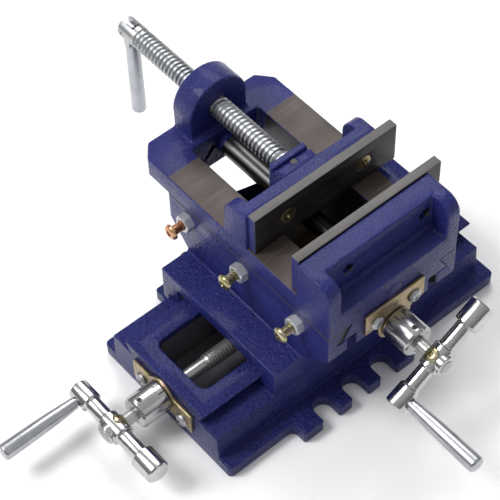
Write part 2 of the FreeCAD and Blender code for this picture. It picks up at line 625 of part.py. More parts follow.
def make_lead_screw(slide, crank_turn):
    screw = new_body(slide.word + "_lead_screw")
    slide.seat(screw, extra=crank_turn)
    flange = "plate_thick + running"
    flange_end = "plate_thick + thrust_length"
    outer_end = "-hub_place - hub_radius"
    turn(screw, "turned", "X",
         [(f"{outer_end} - peen_length", "shaft_radius - 1.2"), (outer_end, "shaft_radius"),
          (flange, "shaft_radius"), (flange, "thrust_radius"), (flange_end, "thrust_radius"),
          (flange_end, "shaft_radius"), (slide.thread_start, "shaft_radius"),
          (slide.thread_start, "thread_radius"), (f"{slide.reach} - 1", "thread_radius"),
          (slide.reach, "thread_radius - 1")])


def make_dial(slide, crank_turn):
    """The graduated collar and the small screw that holds it on the shaft."""
    dial = new_body(slide.word + "_dial")
    slide.seat(dial, extra=crank_turn)
    bore = "shaft_radius + fit_gap"
    outer = "-air - dial_length"
    revolve(dial, "collar", "X",
            [("-air", bore), ("-air", "dial_radius - 0.3"), ("-air - 0.5", "dial_radius"),
             (f"{outer} + 0.8", "dial_radius"), (outer, "dial_radius - 0.8"), (outer, bore)])
    middle = "-air - dial_length * 0.78"
    rod(dial, "screw_hole", "Z", (middle, "0", "0"), "dial_radius + 1",
        "dial_screw_radius + fit_gap", cut=True)
    screw = new_body(slide.word + "_dial_screw")
    slide.seat(screw, extra=crank_turn)
    rod(screw, "grub", "Z", (middle, "0", "shaft_radius + fit_gap"),
        "dial_radius - shaft_radius - 0.8", "dial_screw_radius")


def make_crank(slide, crank_turn):
    """The turned crank arm with its hub screw, grip axle and loose grip."""
    arm = new_body(slide.word + "_crank_arm")
    slide.seat(arm, "-hub_place", crank_turn)
    weight_end = "-weight_arm - hub_half"
    turn(arm, "turned", "Y",
         [(weight_end, "weight_radius - 1.4"), (f"{weight_end} + 1.2", "weight_radius"),
          ("-weight_arm + hub_half - 0.6", "weight_radius"),
          ("-weight_arm + hub_half", "weight_radius - 0.6"),
          ("-weight_arm + hub_half", "rod_radius"), ("-hub_half", "rod_radius"),
          ("-hub_half", "hub_radius - 0.6"), ("-hub_half + 0.6", "hub_radius"),
          ("hub_half - 0.6", "hub_radius"), ("hub_half", "hub_radius - 0.6"),
          ("hub_half", "rod_radius"), ("grip_arm - hub_half", "rod_radius"),
          ("grip_arm - hub_half", "hub_radius - 0.6"), ("grip_arm - hub_half + 0.6", "hub_radius"),
          ("grip_arm + hub_half - 1.2", "hub_radius"), ("grip_arm + hub_half", "hub_radius - 1.4")])
    rod(arm, "shaft_bore", "X", ("-hub_radius - 1", "0", "0"), "2 * hub_radius + 2",
        "shaft_radius + fit_gap", cut=True)
    rod(arm, "screw_hole", "Z", ("0", "0", "0"), "hub_radius + 1",
        "hub_screw_radius + fit_gap", cut=True)
    rod(arm, "axle_hole", "X", ("-hub_radius - 1", "grip_arm", "0"), "2 * hub_radius - 1",
        "axle_radius + fit_gap", cut=True)
    screw = new_body(slide.word + "_hub_screw")
    slide.seat(screw, "-hub_place", crank_turn)
    rod(screw, "shank", "Z", ("0", "0", "shaft_radius + fit_gap"),
        "hub_radius - shaft_radius + 0.3", "hub_screw_radius")
    axle = new_body(slide.word + "_grip_axle")
    slide.seat(axle, "-hub_place", crank_turn)
    rod(axle, "shank", "X", ("-hub_radius - air - axle_depth + 1", "grip_arm", "0"),
        "axle_depth + 2 * hub_radius - 4", "axle_radius")
    grip = new_body(slide.word + "_crank_grip")
    slide.seat(grip, "0", crank_turn)
    place(grip, *slide.grip_seat)
    near_end = "-hub_radius - air"
    far_end = f"{near_end} - grip_length"
    sketch_points = [
        (near_end, "axle_radius + running"), (near_end, "grip_small - 0.5"),
        (f"{near_end} - 0.5", "grip_small"), (f"{far_end} + 7", "grip_large"),
        (f"{far_end} + 2", "grip_large - 0.2"), (f"{far_end} + 0.6", "grip_large - 1.2"),
        (far_end, "grip_large - 3"), (far_end, "0"), (f"{near_end} - axle_depth", "0"),
        (f"{near_end} - axle_depth", "axle_radius + running")]
    revolve(grip, "turned", "X", sketch_points)


def make_retaining_plate(slide, flip):
    plate = new_body(slide.word + "_retaining_plate")
    slide.seat(plate, extra=flip)
    word = slide.word
    edge = f"plate_height / 2 - {word}_strip_drop"
    box(plate, "strip", ("0", "plate_thick"), (f"-{word}_strip_length / 2", f"{word}_strip_length / 2"),
        (f"-plate_height / 2 - {word}_strip_drop", edge))
    box(plate, "neck", ("0", "plate_thick"), ("-plate_hump", "plate_hump"),
        (f"-{word}_strip_drop", "0"))
    rod(plate, "hump", "X", ("0", "0", "0"), "plate_thick", "plate_hump")
    edge_z = size_of("plate_height") / 2 - size_of(word + "_strip_drop")
    dress(plate, "PartDesign::Fillet", "flares", "plate_flare",
          lambda item, middle: along(item, AXIS_X) and near(middle.z, edge_z)
          and abs(middle.y) < size_of("plate_hump") + 1)
    rod(plate, "shaft_hole", "X", ("-1", "0", "0"), "plate_thick + 2",
        "shaft_radius + running", cut=True)
    for side, sign in (("near", "-"), ("far", "")):
        rod(plate, "screw_hole_" + side, "X",
            ("-1", f"{sign}{word}_screw_pitch / 2", f"-{word}_screw_drop"),
            "plate_thick + 2", "plate_screw_radius + fit_gap", cut=True)


def make_plate_screws(slide, axis):
    pieces = []
    for word, sign in (("near", "-"), ("far", "+")):
        offset = f"{sign} {slide.word}_screw_pitch / 2"
        if axis == "X":
            head = ("-base_plate_face - plate_head_height", f"0 {offset}", "base_screw_z")
            shank = ("-base_plate_face - 1", f"0 {offset}", "base_screw_z")
        else:
            head = (f"saddle_shift {offset}", "-cross_plate_face - plate_head_height", "cross_screw_z")
            shank = (f"saddle_shift {offset}", "-cross_plate_face - 1", "cross_screw_z")
        name = f"{slide.word}_plate_screw_{word}"
        pieces.append(fuse(name, [
            plain_cylinder(name + "_head", axis, head, "plate_head_height", "plate_head_radius"),
            plain_cylinder(name + "_shank", axis, shank, "plate_screw_length + 1",
                           "plate_screw_radius")]))
    group(slide.word + "_plate_screws", pieces)


def make_screw_nuts():
    """The two bronze nuts that the lead screws drive, fixed to the saddle."""
    nut = new_body("base_screw_nut")
    place(nut, "saddle_shift + base_nut_x")
    half = "base_nut_length / 2"
    box(nut, "block", (f"-{half}", half), ("-base_nut_width / 2", "base_nut_width / 2"),
        ("base_nut_bottom", "saddle_relief"))
    rod(nut, "spigot", "Z", ("0", "0", "saddle_relief - 1"), "spigot_height + 1", "spigot_radius")
    rod(nut, "screw_bore", "X", (f"-{half} - 1", "0", "base_axis"), "base_nut_length + 2",
        "thread_radius + running", cut=True)
    rod(nut, "fixing_hole", "Z", ("0", "0", "saddle_relief - 4"), "spigot_height + 5",
        "nut_screw_radius + fit_gap", cut=True)
    head = plain_cylinder("base_nut_head", "Z",
                          ("saddle_shift + base_nut_x", "0", "channel_floor - nut_head_sink"),
                          "nut_head_height", "nut_head_radius")
    shank = plain_cylinder("base_nut_shank", "Z",
                           ("saddle_shift + base_nut_x", "0", "saddle_relief - 3.5"),
                           "channel_floor - nut_head_sink - saddle_relief + 4.5", "nut_screw_radius")
    fixing = fuse("base_nut_screw", [head, shank])
    nodes.append(fixing)
    cross = new_body("cross_screw_nut")
    place(cross, "saddle_shift", "cross_nut_y")
    half = "cross_nut_length / 2"
    box(cross, "foot", ("-cross_nut_foot_length / 2", "cross_nut_foot_length / 2"),
        (f"-{half}", half), ("channel_floor", "channel_floor + cross_nut_foot"))
    box(cross, "block", ("-cross_nut_width / 2", "cross_nut_width / 2"), (f"-{half}", half),
        ("channel_floor + 1", "cross_nut_top"))
    rod(cross, "screw_bore", "Y", ("0", f"-{half} - 1", "cross_axis"), "cross_nut_length + 2",
        "thread_radius + running", cut=True)
    pieces = []
    for word, sign in (("left", "-"), ("right", "+")):
        screw_x = f"0 {sign} cross_nut_screw_pitch / 2"
        rod(cross, "fixing_hole_" + word, "Z", (screw_x, "0", "channel_floor - 1"),
            "cross_nut_foot + 2", "nut_screw_radius + fit_gap", cut=True)
        x = f"saddle_shift {sign} cross_nut_screw_pitch / 2"
        name = "cross_nut_screw_" + word
        pieces.append(fuse(name, [
            plain_cylinder(name + "_head", "Z",
                           (x, "cross_nut_y", "channel_floor + cross_nut_foot"),
                           "nut_head_height", "nut_head_radius"),
            plain_cylinder(name + "_shank", "Z", (x, "cross_nut_y", "channel_floor - 7"),
                           "cross_nut_foot + 8", "nut_screw_radius")]))
    group("cross_nut_screws", pieces)


def make_gibs():
    """The two gib strips, and the screws with lock nuts that press them on the dovetails."""
    base_gib = new_body("base_gib")
    place(base_gib, "saddle_shift")
    low = "ledge_top + air"
    high = "way_top - running"
    lean_low = "( air ) * lean"
    lean_high = "( way_top - running - ledge_top ) * lean"
    inner = "way_foot + running"
    outer = "way_foot + running + base_gib"
    extrude(base_gib, "YZ_Plane", "strip",
            [(f"{inner} + {lean_low}", low), (f"{inner} + {lean_high}", high),
             (f"{outer} + {lean_high}", high), (f"{outer} + {lean_low}", low)],
            "saddle_length - 2")
    cross_gib = new_body("cross_gib")
    place(cross_gib, "saddle_shift")
    low = "male_bottom + male_lift"
    high = "parting - running"
    lean_low = "( dovetail_depth - male_lift ) * lean"
    lean_high = "running * lean"
    inner = "-cross_gib_x - running"
    outer = "-cross_gib_x - running - cross_gib"
    extrude(cross_gib, "XZ_Plane", "strip",
            [(f"{inner} - {lean_high}", high), (f"{outer} - {lean_high}", high),
             (f"{outer} - {lean_low}", low), (f"{inner} - {lean_low}", low)],
            "rail_rear - rail_front - 2")


def hex_nut(name, axis, start):
    """A lock nut standing on the face that its start lies on."""
    prism = doc.addObject("Part::Prism", name + "_hexagon")
    prism.Polygon = 6
    prism.Placement = FreeCAD.Placement(FreeCAD.Vector(), TURN[axis])
    place(prism, *start)
    bind(prism, Circumradius="gib_nut_across / 1.73205", Height="gib_nut_height")
    hole = plain_cylinder(name + "_hole", axis, start, "gib_nut_height",
                          "gib_screw_radius + fit_gap")
    nut = doc.addObject("Part::Cut", name)
    nut.Base = prism
    nut.Tool = hole
    return nut


def make_gib_screws():
    screws, nuts = [], []
    gib_back = "cross_gib_x + running + cross_gib"
    tip = f"{gib_back} + ( parting - gib_screw_z + gib_screw_radius ) * lean + running"
    point = f"{gib_back} + ( parting - gib_screw_z ) * lean + dog_reach"
    out = "rail_half + gib_screw_out"
    for number in (-1, 0, 1):
        y = f"gib_screw_y + {number} * gib_screw_pitch"
        name = f"cross_gib_screw_{number + 2}"
        head = plain_cylinder(name + "_head", "X", (f"saddle_shift - ( {out} )", y, "gib_screw_z"),
                              "gib_head_height", "gib_head_radius")
        shank = plain_cylinder(name + "_shank", "X",
                               (f"saddle_shift - ( {out} ) + 1", y, "gib_screw_z"),
                               f"{out} - 1 - ( {tip} )", "gib_screw_radius")
        dog = plain_cylinder(name + "_point", "X",
                             (f"saddle_shift - ( {tip} ) - 1", y, "gib_screw_z"),
                             f"{tip} + 1 - ( {point} )", "dog_radius")
        screws.append(fuse(name, [head, shank, dog]))
        nuts.append(hex_nut(f"cross_gib_nut_{number + 2}", "X",
                            ("saddle_shift - rail_half - gib_nut_height", y, "gib_screw_z")))
    group("cross_gib_screws", screws)
    group("cross_gib_nuts", nuts)
    screws, nuts = [], []
    tip = "way_foot + running + base_gib + ( way_top - ledge_top ) * lean"
    point = "way_foot + running + base_gib + ( base_gib_screw_z - ledge_top ) * lean + dog_reach"
    for number in (-1, 0, 1):
        x = f"saddle_shift + {number} * base_gib_screw_pitch"
        name = f"base_gib_screw_{number + 2}"
        shank = plain_cylinder(name + "_shank", "Y", (x, tip, "base_gib_screw_z"),
                               f"saddle_far + base_gib_screw_out - ( {tip} )", "gib_screw_radius")
        dog = plain_cylinder(name + "_point", "Y", (x, point, "base_gib_screw_z"),
                             f"{tip} + 1 - ( {point} )", "dog_radius")
        screws.append(fuse(name, [shank, dog]))
        nuts.append(hex_nut(f"base_gib_nut_{number + 2}", "Y",
                            (x, "saddle_far", "base_gib_screw_z")))
    group("base_gib_screws", screws)
    group("base_gib_nuts", nuts)


make_base()
make_saddle()
make_vise_body()
make_moving_jaw()
make_jaw_plate("fixed_jaw_plate", ("fixed_back", "fixed_back + jaw_plate_thick"))
make_jaw_plate("moving_jaw_plate", ("jaw_front - jaw_plate_thick", "jaw_front"))
make_jaw_plate_screws("fixed_jaw_plate_screws", True)
make_jaw_plate_screws("moving_jaw_plate_screws", False)
make_clamp_screw()
level = FreeCAD.Rotation()
tilted = FreeCAD.Rotation(AXIS_X, size_of("cross_crank_angle"))
for slide, crank_turn, flip, axis in ((BASE_SLIDE, level, level, "X"),
                                      (CROSS_SLIDE, tilted, FreeCAD.Rotation(AXIS_X, 180), "Y")):
    make_lead_screw(slide, crank_turn)
    make_dial(slide, crank_turn)
    make_crank(slide, crank_turn)
    make_retaining_plate(slide, flip)
    make_plate_screws(slide, axis)
make_screw_nuts()
make_gibs()
make_gib_screws()

doc.recompute()
for item in doc.Objects:
    if "Invalid" in item.State or "Error" in item.State:
        raise RuntimeError(f"{item.Name} did not compute: {item.State}")
for node in nodes:
    shape = node.Shape
    if shape.isNull() or not shape.isValid() or not shape.Solids:
        raise RuntimeError(f"{node.Label} is not a valid solid")
os.makedirs("parts", exist_ok=True)
for node in nodes:
    node.Shape.exportStep(os.path.join("parts", node.Label + ".step"))
    print(node.Label, len(node.Shape.Solids), "solid", round(node.Shape.Volume / 1000, 2), "cm3")
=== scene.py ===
"""Cross slide vise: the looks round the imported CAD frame. Helpers take millimetres."""
import math

import bmesh
import bpy
from mathutils import Matrix, Vector


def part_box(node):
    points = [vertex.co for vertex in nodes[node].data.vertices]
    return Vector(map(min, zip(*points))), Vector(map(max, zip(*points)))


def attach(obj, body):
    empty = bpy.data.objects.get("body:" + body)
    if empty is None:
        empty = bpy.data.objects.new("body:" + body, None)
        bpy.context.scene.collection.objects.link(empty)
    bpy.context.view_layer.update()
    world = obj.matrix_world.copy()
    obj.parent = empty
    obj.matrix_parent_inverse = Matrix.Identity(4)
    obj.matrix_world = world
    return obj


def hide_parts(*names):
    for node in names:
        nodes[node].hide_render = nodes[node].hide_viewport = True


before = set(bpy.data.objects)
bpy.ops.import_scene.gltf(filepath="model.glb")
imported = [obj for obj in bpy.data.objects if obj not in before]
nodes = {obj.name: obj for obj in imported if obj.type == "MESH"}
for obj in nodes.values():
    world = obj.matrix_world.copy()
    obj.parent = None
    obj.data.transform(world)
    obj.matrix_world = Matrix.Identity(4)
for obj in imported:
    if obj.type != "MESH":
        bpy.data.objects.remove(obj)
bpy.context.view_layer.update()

MM = 0.001

# Places of the CAD model that the pieces share
CENTRE_X = 6.5                  # middle plane of the saddle, the body and both screws along Y
BASE_WAY_TOP = 31
PARTING = 85                    # plane between the saddle and the vise body
BODY_TOP = 98.5                 # top of the ways
JAW_WALL_Y = -40                # the ways run from the wall of the fixed jaw
YOKE_PAINT_Y = 65               # to where the paint of the yoke starts
STRIP_X, STRIP_END_Y = 49, -4   # painted strip beside the right way
PLATE_X, PLATE_HALF = 12, 50    # middle and half length of the jaw plates
JAW_SCREW_SPREAD, JAW_SCREW_Z = 27, 112.35
ARCH_HALF = 19.8                # half width of the arch round the clamp screw
GUIDE_Z = 87                    # axis of the guide bar
SPINDLE_Z = 112.5               # axis of the clamp screw
LEVER_PIVOT = (CENTRE_X, 154, SPINDLE_Z)
BASE_SEAT = (-102, 0, 21.5)     # base lead screw where it leaves its plate
CROSS_SEAT = (CENTRE_X, -67.5, 62)
CROSS_CRANK_ANGLE = -29.5

# Plate screws: height over the lead screw, and pitch
BASE_SCREW_RISE, BASE_SCREW_PITCH = -4.5, 35
CROSS_SCREW_RISE, CROSS_SCREW_PITCH = 11, 27

# Sizes that several pieces share
EDGE_WIDTH = 3.0                # widest round of a cast edge; the rules give shares of it
SLIDE_PITCH, CLAMP_PITCH = 2.0, 3.0
LOCK_NUT = (10, 5, 2.95)        # across flats, height, bore radius
NUT_CORNERS = 11.55             # width of the same nut across its corners
DIAL_RADIUS, DIAL_END, DIAL_SCREW = 9.7, -18.8, -14.7
DIAL_DIVISIONS = 12
HUB, GRIP_ARM, ROD = -32, 27, 4.75      # hub along its shaft, grip from the hub, arm radius


# ---------------------------------------------------------------- materials

def new_material(name, colour, roughness, metallic=0.0, coat=0.0):
    """A material and its shader node."""
    material = bpy.data.materials.new(name)
    material.use_nodes = True
    shader = material.node_tree.nodes["Principled BSDF"]
    shader.inputs["Base Color"].default_value = (*colour, 1)
    shader.inputs["Roughness"].default_value = roughness
    shader.inputs["Metallic"].default_value = metallic
    shader.inputs["Coat Weight"].default_value = coat
    shader.inputs["Coat Roughness"].default_value = 0.12
    return material, shader


def add(material, kind, **sockets):
    """A new node with plain values in its sockets. An underscore stands for a blank."""
    node = material.node_tree.nodes.new(kind)
    for name, value in sockets.items():
        node.inputs[name.replace("_", " ")].default_value = value
    return node


def join(material, start, end):
    material.node_tree.links.new(start, end)


def noise(material, scale, detail=3.0, stretch=(1, 1, 1)):
    """A noise over the object's own coordinates. Scale is in features per metre."""
    place = add(material, "ShaderNodeTexCoord")
    mapping = add(material, "ShaderNodeMapping", Scale=stretch)
    texture = add(material, "ShaderNodeTexNoise", Scale=scale, Detail=detail)
    join(material, place.outputs["Object"], mapping.inputs["Vector"])
    join(material, mapping.outputs["Vector"], texture.inputs["Vector"])
    return texture.outputs["Fac"]


def ramp(material, source, low, high):
    """A colour or grey between two ends, each (place, colour)."""
    node = add(material, "ShaderNodeValToRGB")
    for element, (place, colour) in zip(node.color_ramp.elements, (low, high)):
        element.position = place
        element.color = (*colour, 1) if isinstance(colour, tuple) else (colour, colour, colour, 1)
    join(material, source, node.inputs["Fac"])
    return node.outputs["Color"]


def mix(material, share, first, second):
    """Two colours mixed by a share. Each may be a plain value or a node's output."""
    node = add(material, "ShaderNodeMix")
    node.data_type = "RGBA"
    low, high = (socket for socket in node.inputs if socket.type == "RGBA")
    for value, socket in ((share, node.inputs["Factor"]), (first, low), (second, high)):
        if isinstance(value, bpy.types.NodeSocket):
            join(material, value, socket)
        else:
            socket.default_value = (*value, 1) if isinstance(value, tuple) else value
    return next(socket for socket in node.outputs if socket.type == "RGBA")


def bump(material, shader, layers):
    """Stacked bumps, each (height, strength, distance in mm)."""
    last = None
    for height, strength, distance in layers:
        node = add(material, "ShaderNodeBump", Strength=strength, Distance=distance * MM)
        join(material, height, node.inputs["Height"])
        if last:
            join(material, last, node.inputs["Normal"])
        last = node.outputs["Normal"]
    join(material, last, shader.inputs["Normal"])


def enamel(name, grain=1.0, coarse=520):
    """Blue enamel over a sand casting, with the sand's grain showing through."""
    material, shader = new_material(name, (0.014, 0.017, 0.11), 0.3, coat=0.1)
    shader.inputs["Specular IOR Level"].default_value = 0.2
    broad = noise(material, 35, 2)
    fine = noise(material, 1250, 3)
    grit = noise(material, 2600, 2)
    tone = ramp(material, broad, (0.3, (0.0095, 0.0115, 0.088)), (0.7, (0.0155, 0.019, 0.13)))
    speck = ramp(material, fine, (0.42, 0.0), (0.68, 1.0))
    colour = mix(material, speck, tone, (0.026, 0.031, 0.18))
    join(material, colour, shader.inputs["Base Color"])
    join(material, ramp(material, fine, (0.3, 0.12), (0.75, 0.27)), shader.inputs["Roughness"])
    swell = noise(material, coarse, 2)
    bump(material, shader, [(swell, 0.8 * grain, 1.2), (fine, 0.8 * grain, 0.6),
                            (grit, 0.5 * grain, 0.25)])
    return material


def machined(name, dark, light, roughness, along, metallic, lines=1500):
    """Milled or ground metal with its lines along an axis."""
    material, shader = new_material(name, light, roughness, metallic)
    strokes = noise(material, lines, 3, tuple(0.02 if axis == along else 1 for axis in "XYZ"))
    cloud = noise(material, 90, 4, tuple(0.35 if axis == along else 1 for axis in "XYZ"))
    first = ramp(material, strokes, (0.32, dark), (0.68, light))
    shade = ramp(material, cloud, (0.3, dark), (0.7, light))
    join(material, mix(material, 0.45, first, shade), shader.inputs["Base Color"])
    join(material, ramp(material, strokes, (0.3, roughness - 0.1), (0.7, roughness + 0.14)),
         shader.inputs["Roughness"])
    bump(material, shader, [(strokes, 0.3, 0.05)])
    return material


def plated(name, dark, light, roughness, tint=None, wear=0.02, vary=0.12, metallic=1.0):
    """Plated or polished metal with faint handling marks."""
    material, shader = new_material(name, light, roughness, metallic)
    cloud = noise(material, 120, 5)
    tone = ramp(material, cloud, (0.3, dark), (0.7, light))
    if tint:
        patches = ramp(material, noise(material, 260, 3), (0.42, 0.0), (0.66, 1.0))
        tone = mix(material, patches, tone, tint)
    join(material, tone, shader.inputs["Base Color"])
    marks = noise(material, 900, 4)
    join(material, ramp(material, marks, (0.35, roughness), (0.75, roughness + vary)),
         shader.inputs["Roughness"])
    bump(material, shader, [(marks, wear, 0.05)])
    return material


PAINT = enamel("blue_enamel", 1.9, 470)
SMOOTH_PAINT = enamel("blue_enamel_smooth", 0.9, 620)
WAY = machined("milled_way", (0.022, 0.016, 0.0145), (0.106, 0.082, 0.075), 0.5, "X", 0.3, 1100)
SEAM = machined("bare_seam", (0.012, 0.008, 0.006), (0.06, 0.036, 0.02), 0.6, "Y", 0.2)
# Oily bare steel, near-black as painted shade in channels, holes, slits and under the ways.
OILY_SHADE = machined("oily_casting_painted_shade", (0.006, 0.0055, 0.006), (0.02, 0.018, 0.018), 0.42, "X", 0.2, 900)
PLATE_STEEL = machined("ground_plate", (0.045, 0.043, 0.042), (0.158, 0.151, 0.147), 0.48, "X", 0.4)
# Darker copy of the ground steel for the gripping faces: painted shade.
PLATE_FACE_SHADE = machined("ground_face_painted_shade", (0.016, 0.015, 0.015), (0.058, 0.054, 0.051), 0.4, "X", 0.5)
BAR_STEEL = machined("drawn_bar", (0.04, 0.04, 0.042), (0.115, 0.115, 0.116), 0.28, "Y", 1.0, 700)
SHAFT_STEEL = machined("turned_shaft", (0.34, 0.34, 0.33), (0.52, 0.52, 0.51), 0.32, "X", 0.8, 900)
ZINC = plated("bright_zinc", (0.36, 0.37, 0.38), (0.48, 0.49, 0.5), 0.34)
SATIN_ZINC = plated("satin_zinc", (0.38, 0.39, 0.42), (0.48, 0.49, 0.52), 0.3, None, 0.008, 0.05)
NUT_ZINC = plated("nut_zinc", (0.55, 0.56, 0.57), (0.7, 0.71, 0.72), 0.3, metallic=0.6)
CHROME = plated("polished_chrome", (0.47, 0.47, 0.475), (0.56, 0.56, 0.56), 0.17, None, 0.003, 0.03)
DIAL_METAL = plated("satin_nickel", (0.4, 0.4, 0.41), (0.49, 0.49, 0.5), 0.22, None, 0.003, 0.03)
YELLOW_ZINC = plated("yellow_zinc", (0.27, 0.22, 0.1), (0.45, 0.39, 0.21), 0.3, (0.42, 0.3, 0.25))
GREEN_ZINC = plated("yellow_zinc_screw", (0.26, 0.27, 0.1), (0.55, 0.54, 0.27), 0.24,
                    (0.6, 0.48, 0.4))
COPPER_ZINC = plated("coppery_zinc_screw", (0.5, 0.25, 0.13), (0.75, 0.45, 0.28), 0.24)
BLACK_STEEL = plated("black_oxide", (0.02, 0.02, 0.022), (0.06, 0.06, 0.062), 0.4)
BRONZE = plated("turned_bronze", (0.35, 0.22, 0.09), (0.52, 0.36, 0.16), 0.35)
INK = new_material("engraving_ink", (0.012, 0.012, 0.014), 0.6)[0]
bump(INK, INK.node_tree.nodes["Principled BSDF"], [(noise(INK, 1500), 0.1, 0.05)])
# Dark grey for the base's pit: painted shade of the deep recess.
PIT_SHADE = enamel("pit_painted_shade", 0.3)
join(PIT_SHADE, ramp(PIT_SHADE, noise(PIT_SHADE, 60), (0.3, (0.07, 0.067, 0.08)), (0.7, (0.1, 0.097, 0.115))),
     PIT_SHADE.node_tree.nodes["Principled BSDF"].inputs["Base Color"])


# ---------------------------------------------------------------- mesh helpers

def piece(name, bm, materials, body, slot, *replaced):
    """Finish a bmesh in millimetres as a piece that rides on a body."""
    mesh = bpy.data.meshes.new(name)
    bm.to_mesh(mesh)
    bm.free()
    mesh.transform(Matrix.Scale(MM, 4))
    for material in materials if isinstance(materials, (list, tuple)) else [materials]:
        mesh.materials.append(material)
    item = bpy.data.objects.new(name, mesh)
    bpy.context.scene.collection.objects.link(item)
    if body:
        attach(item, body)
    if replaced:
        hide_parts(*replaced)
    return item


def smooth(bm, degrees=35):
    """Smooth shading that breaks at edges sharper than an angle."""
    for face in bm.faces:
        face.smooth = True
    for edge in bm.edges:
        edge.smooth = len(edge.link_faces) == 2 and edge.calc_face_angle(0) < math.radians(degrees)


def rounded(stations):
    """Turn (along, radius, round) stations into a profile with small rounds at its corners."""
    points = [Vector(station[:2]) for station in stations]
    profile = []
    for index, station in enumerate(stations):
        size = station[2] if len(station) > 2 else 0
        if not size or index in (0, len(stations) - 1):
            profile.append(points[index])
            continue
        corner = points[index]
        back, ahead = points[index - 1] - corner, points[index + 1] - corner
        reach = min(size, back.length * 0.49, ahead.length * 0.49)
        start, end = corner + back.normalized() * reach, corner + ahead.normalized() * reach
        for step in range(5):
            t = step / 4
            profile.append(start * (1 - t) ** 2 + corner * 2 * t * (1 - t) + end * t ** 2)
    return profile


def lathe(stations, place=Matrix(), segments=64, closed=False):
    """A turned solid about local X. Its stations go from axis to axis, or round a closed ring."""
    bm = bmesh.new()
    rings = []
    for along, radius in rounded(stations):
        if radius < 1e-6:
            rings.append([bm.verts.new((along, 0, 0))])
            continue
        rings.append([bm.verts.new((along, radius * math.sin(turn), radius * math.cos(turn)))
                      for turn in (2 * math.pi * index / segments for index in range(segments))])
    pairs = list(zip(rings, rings[1:] + rings[:1] if closed else rings[1:]))
    for first, second in pairs:
        for index in range(segments):
            after = (index + 1) % segments
            corners = [first[index % len(first)], first[after % len(first)],
                       second[after % len(second)], second[index % len(second)]]
            unique = list(dict.fromkeys(corners))
            if len(unique) > 2:
                bm.faces.new(unique)
    bmesh.ops.recalc_face_normals(bm, faces=bm.faces)
    bmesh.ops.transform(bm, matrix=place, verts=bm.verts)
    smooth(bm)
    return bm


def merge(*parts):
    """Several bmeshes as one."""
    joined = bmesh.new()
    for part in parts:
        mesh = bpy.data.meshes.new("part")
        part.to_mesh(mesh)
        part.free()
        joined.from_mesh(mesh)
        bpy.data.meshes.remove(mesh)
    return joined


def combine(bm, tool, operation):
    """Cut, join or intersect two bmeshes."""
    objects = []
    for source in (bm, tool):
        mesh = bpy.data.meshes.new("solid")
        source.to_mesh(mesh)
        source.free()
        item = bpy.data.objects.new("solid", mesh)
        bpy.context.scene.collection.objects.link(item)
        objects.append(item)
    modifier = objects[0].modifiers.new("combine", "BOOLEAN")
    modifier.object = objects[1]
    modifier.operation = operation
    modifier.solver = "EXACT"
    result = bmesh.new()
    result.from_object(objects[0], bpy.context.evaluated_depsgraph_get())
    for item in objects:
        mesh = item.data
        bpy.data.objects.remove(item)
        bpy.data.meshes.remove(mesh)
    return result


def block(low, high, place=Matrix()):
    """A box between two corners."""
    bm = bmesh.new()
    bmesh.ops.create_cube(bm, size=1)
    middle = [(a + b) / 2 for a, b in zip(low, high)]
    spans = [b - a for a, b in zip(low, high)]
    size = Matrix.Diagonal((*spans, 1))
    bmesh.ops.transform(bm, matrix=place @ Matrix.Translation(middle) @ size, verts=bm.verts)
    return bm


def thread(start, end, major, minor, pitch, place=Matrix(), steps=40):
    """A screw thread about local X, closed at both ends."""
    bm = bmesh.new()
    form = [(0.0, minor), (0.12, minor), (0.42, major), (0.62, major), (0.92, minor)]
    turns = (end - start) / pitch + 2
    columns = []
    for step in range(int(turns * steps) + 1):
        turn = 2 * math.pi * step / steps
        shift = start - pitch + pitch * step / steps
        column = []
        for share, radius in form + [(1.0, minor)]:
            along = min(max(shift + pitch * share, start), end)
            fade = min(1, (shift + pitch * share - start) / pitch + 0.2,
                       (end - shift - pitch * share) / pitch + 0.2)
            size = minor + (radius - minor) * max(0, fade)
            column.append(bm.verts.new((along, size * math.sin(turn), size * math.cos(turn))))
        columns.append(column)
    for first, second in zip(columns, columns[1:]):
        for index in range(len(form)):
            bm.faces.new((first[index], first[index + 1], second[index + 1], second[index]))
    bmesh.ops.remove_doubles(bm, verts=bm.verts, dist=0.002)
    bmesh.ops.dissolve_degenerate(bm, edges=bm.edges, dist=0.002)
    bmesh.ops.holes_fill(bm, edges=[e for e in bm.edges if e.is_boundary])
    bmesh.ops.recalc_face_normals(bm, faces=bm.faces)
    bmesh.ops.transform(bm, matrix=place, verts=bm.verts)
    smooth(bm, 50)
    return bm


def cross_recess(top, depth, width, place):
    """The cutter of a cross recess that goes down from a place along local X."""
    bars = []
    for turn in (0, math.pi / 2):
        bar = block((top - depth, -width * 0.5, -width * 0.14),
                    (top + 1, width * 0.5, width * 0.14))
        for vertex in bar.verts:
            if vertex.co.x < top:
                vertex.co.y *= 0.45
                vertex.co.z *= 0.8
        bmesh.ops.transform(bar, matrix=place @ Matrix.Rotation(turn, 4, "X"), verts=bar.verts)
        bars.append(bar)
    return combine(bars[0], bars[1], "UNION")


def pan_screw(place, head_radius, head_height, shank, recess_turn=0.4):
    """A pan head with a cross recess. Local X points out of the head; shank is (radius, length)."""
    radius, length = shank
    head = lathe([(-length, 0), (-length, radius - 0.3), (-length + 0.4, radius), (0, radius),
                  (0, head_radius - 0.15), (0.3, head_radius, 0.25),
                  (head_height * 0.55, head_radius * 0.93, 0.6),
                  (head_height * 0.88, head_radius * 0.62, 0.8), (head_height, 0)], segments=40)
    cutter = cross_recess(head_height, head_height * 0.75, head_radius * 1.15,
                          Matrix.Rotation(recess_turn, 4, "X"))
    bm = combine(head, cutter, "DIFFERENCE")
    bmesh.ops.transform(bm, matrix=place, verts=bm.verts)
    smooth(bm, 30)
    return bm


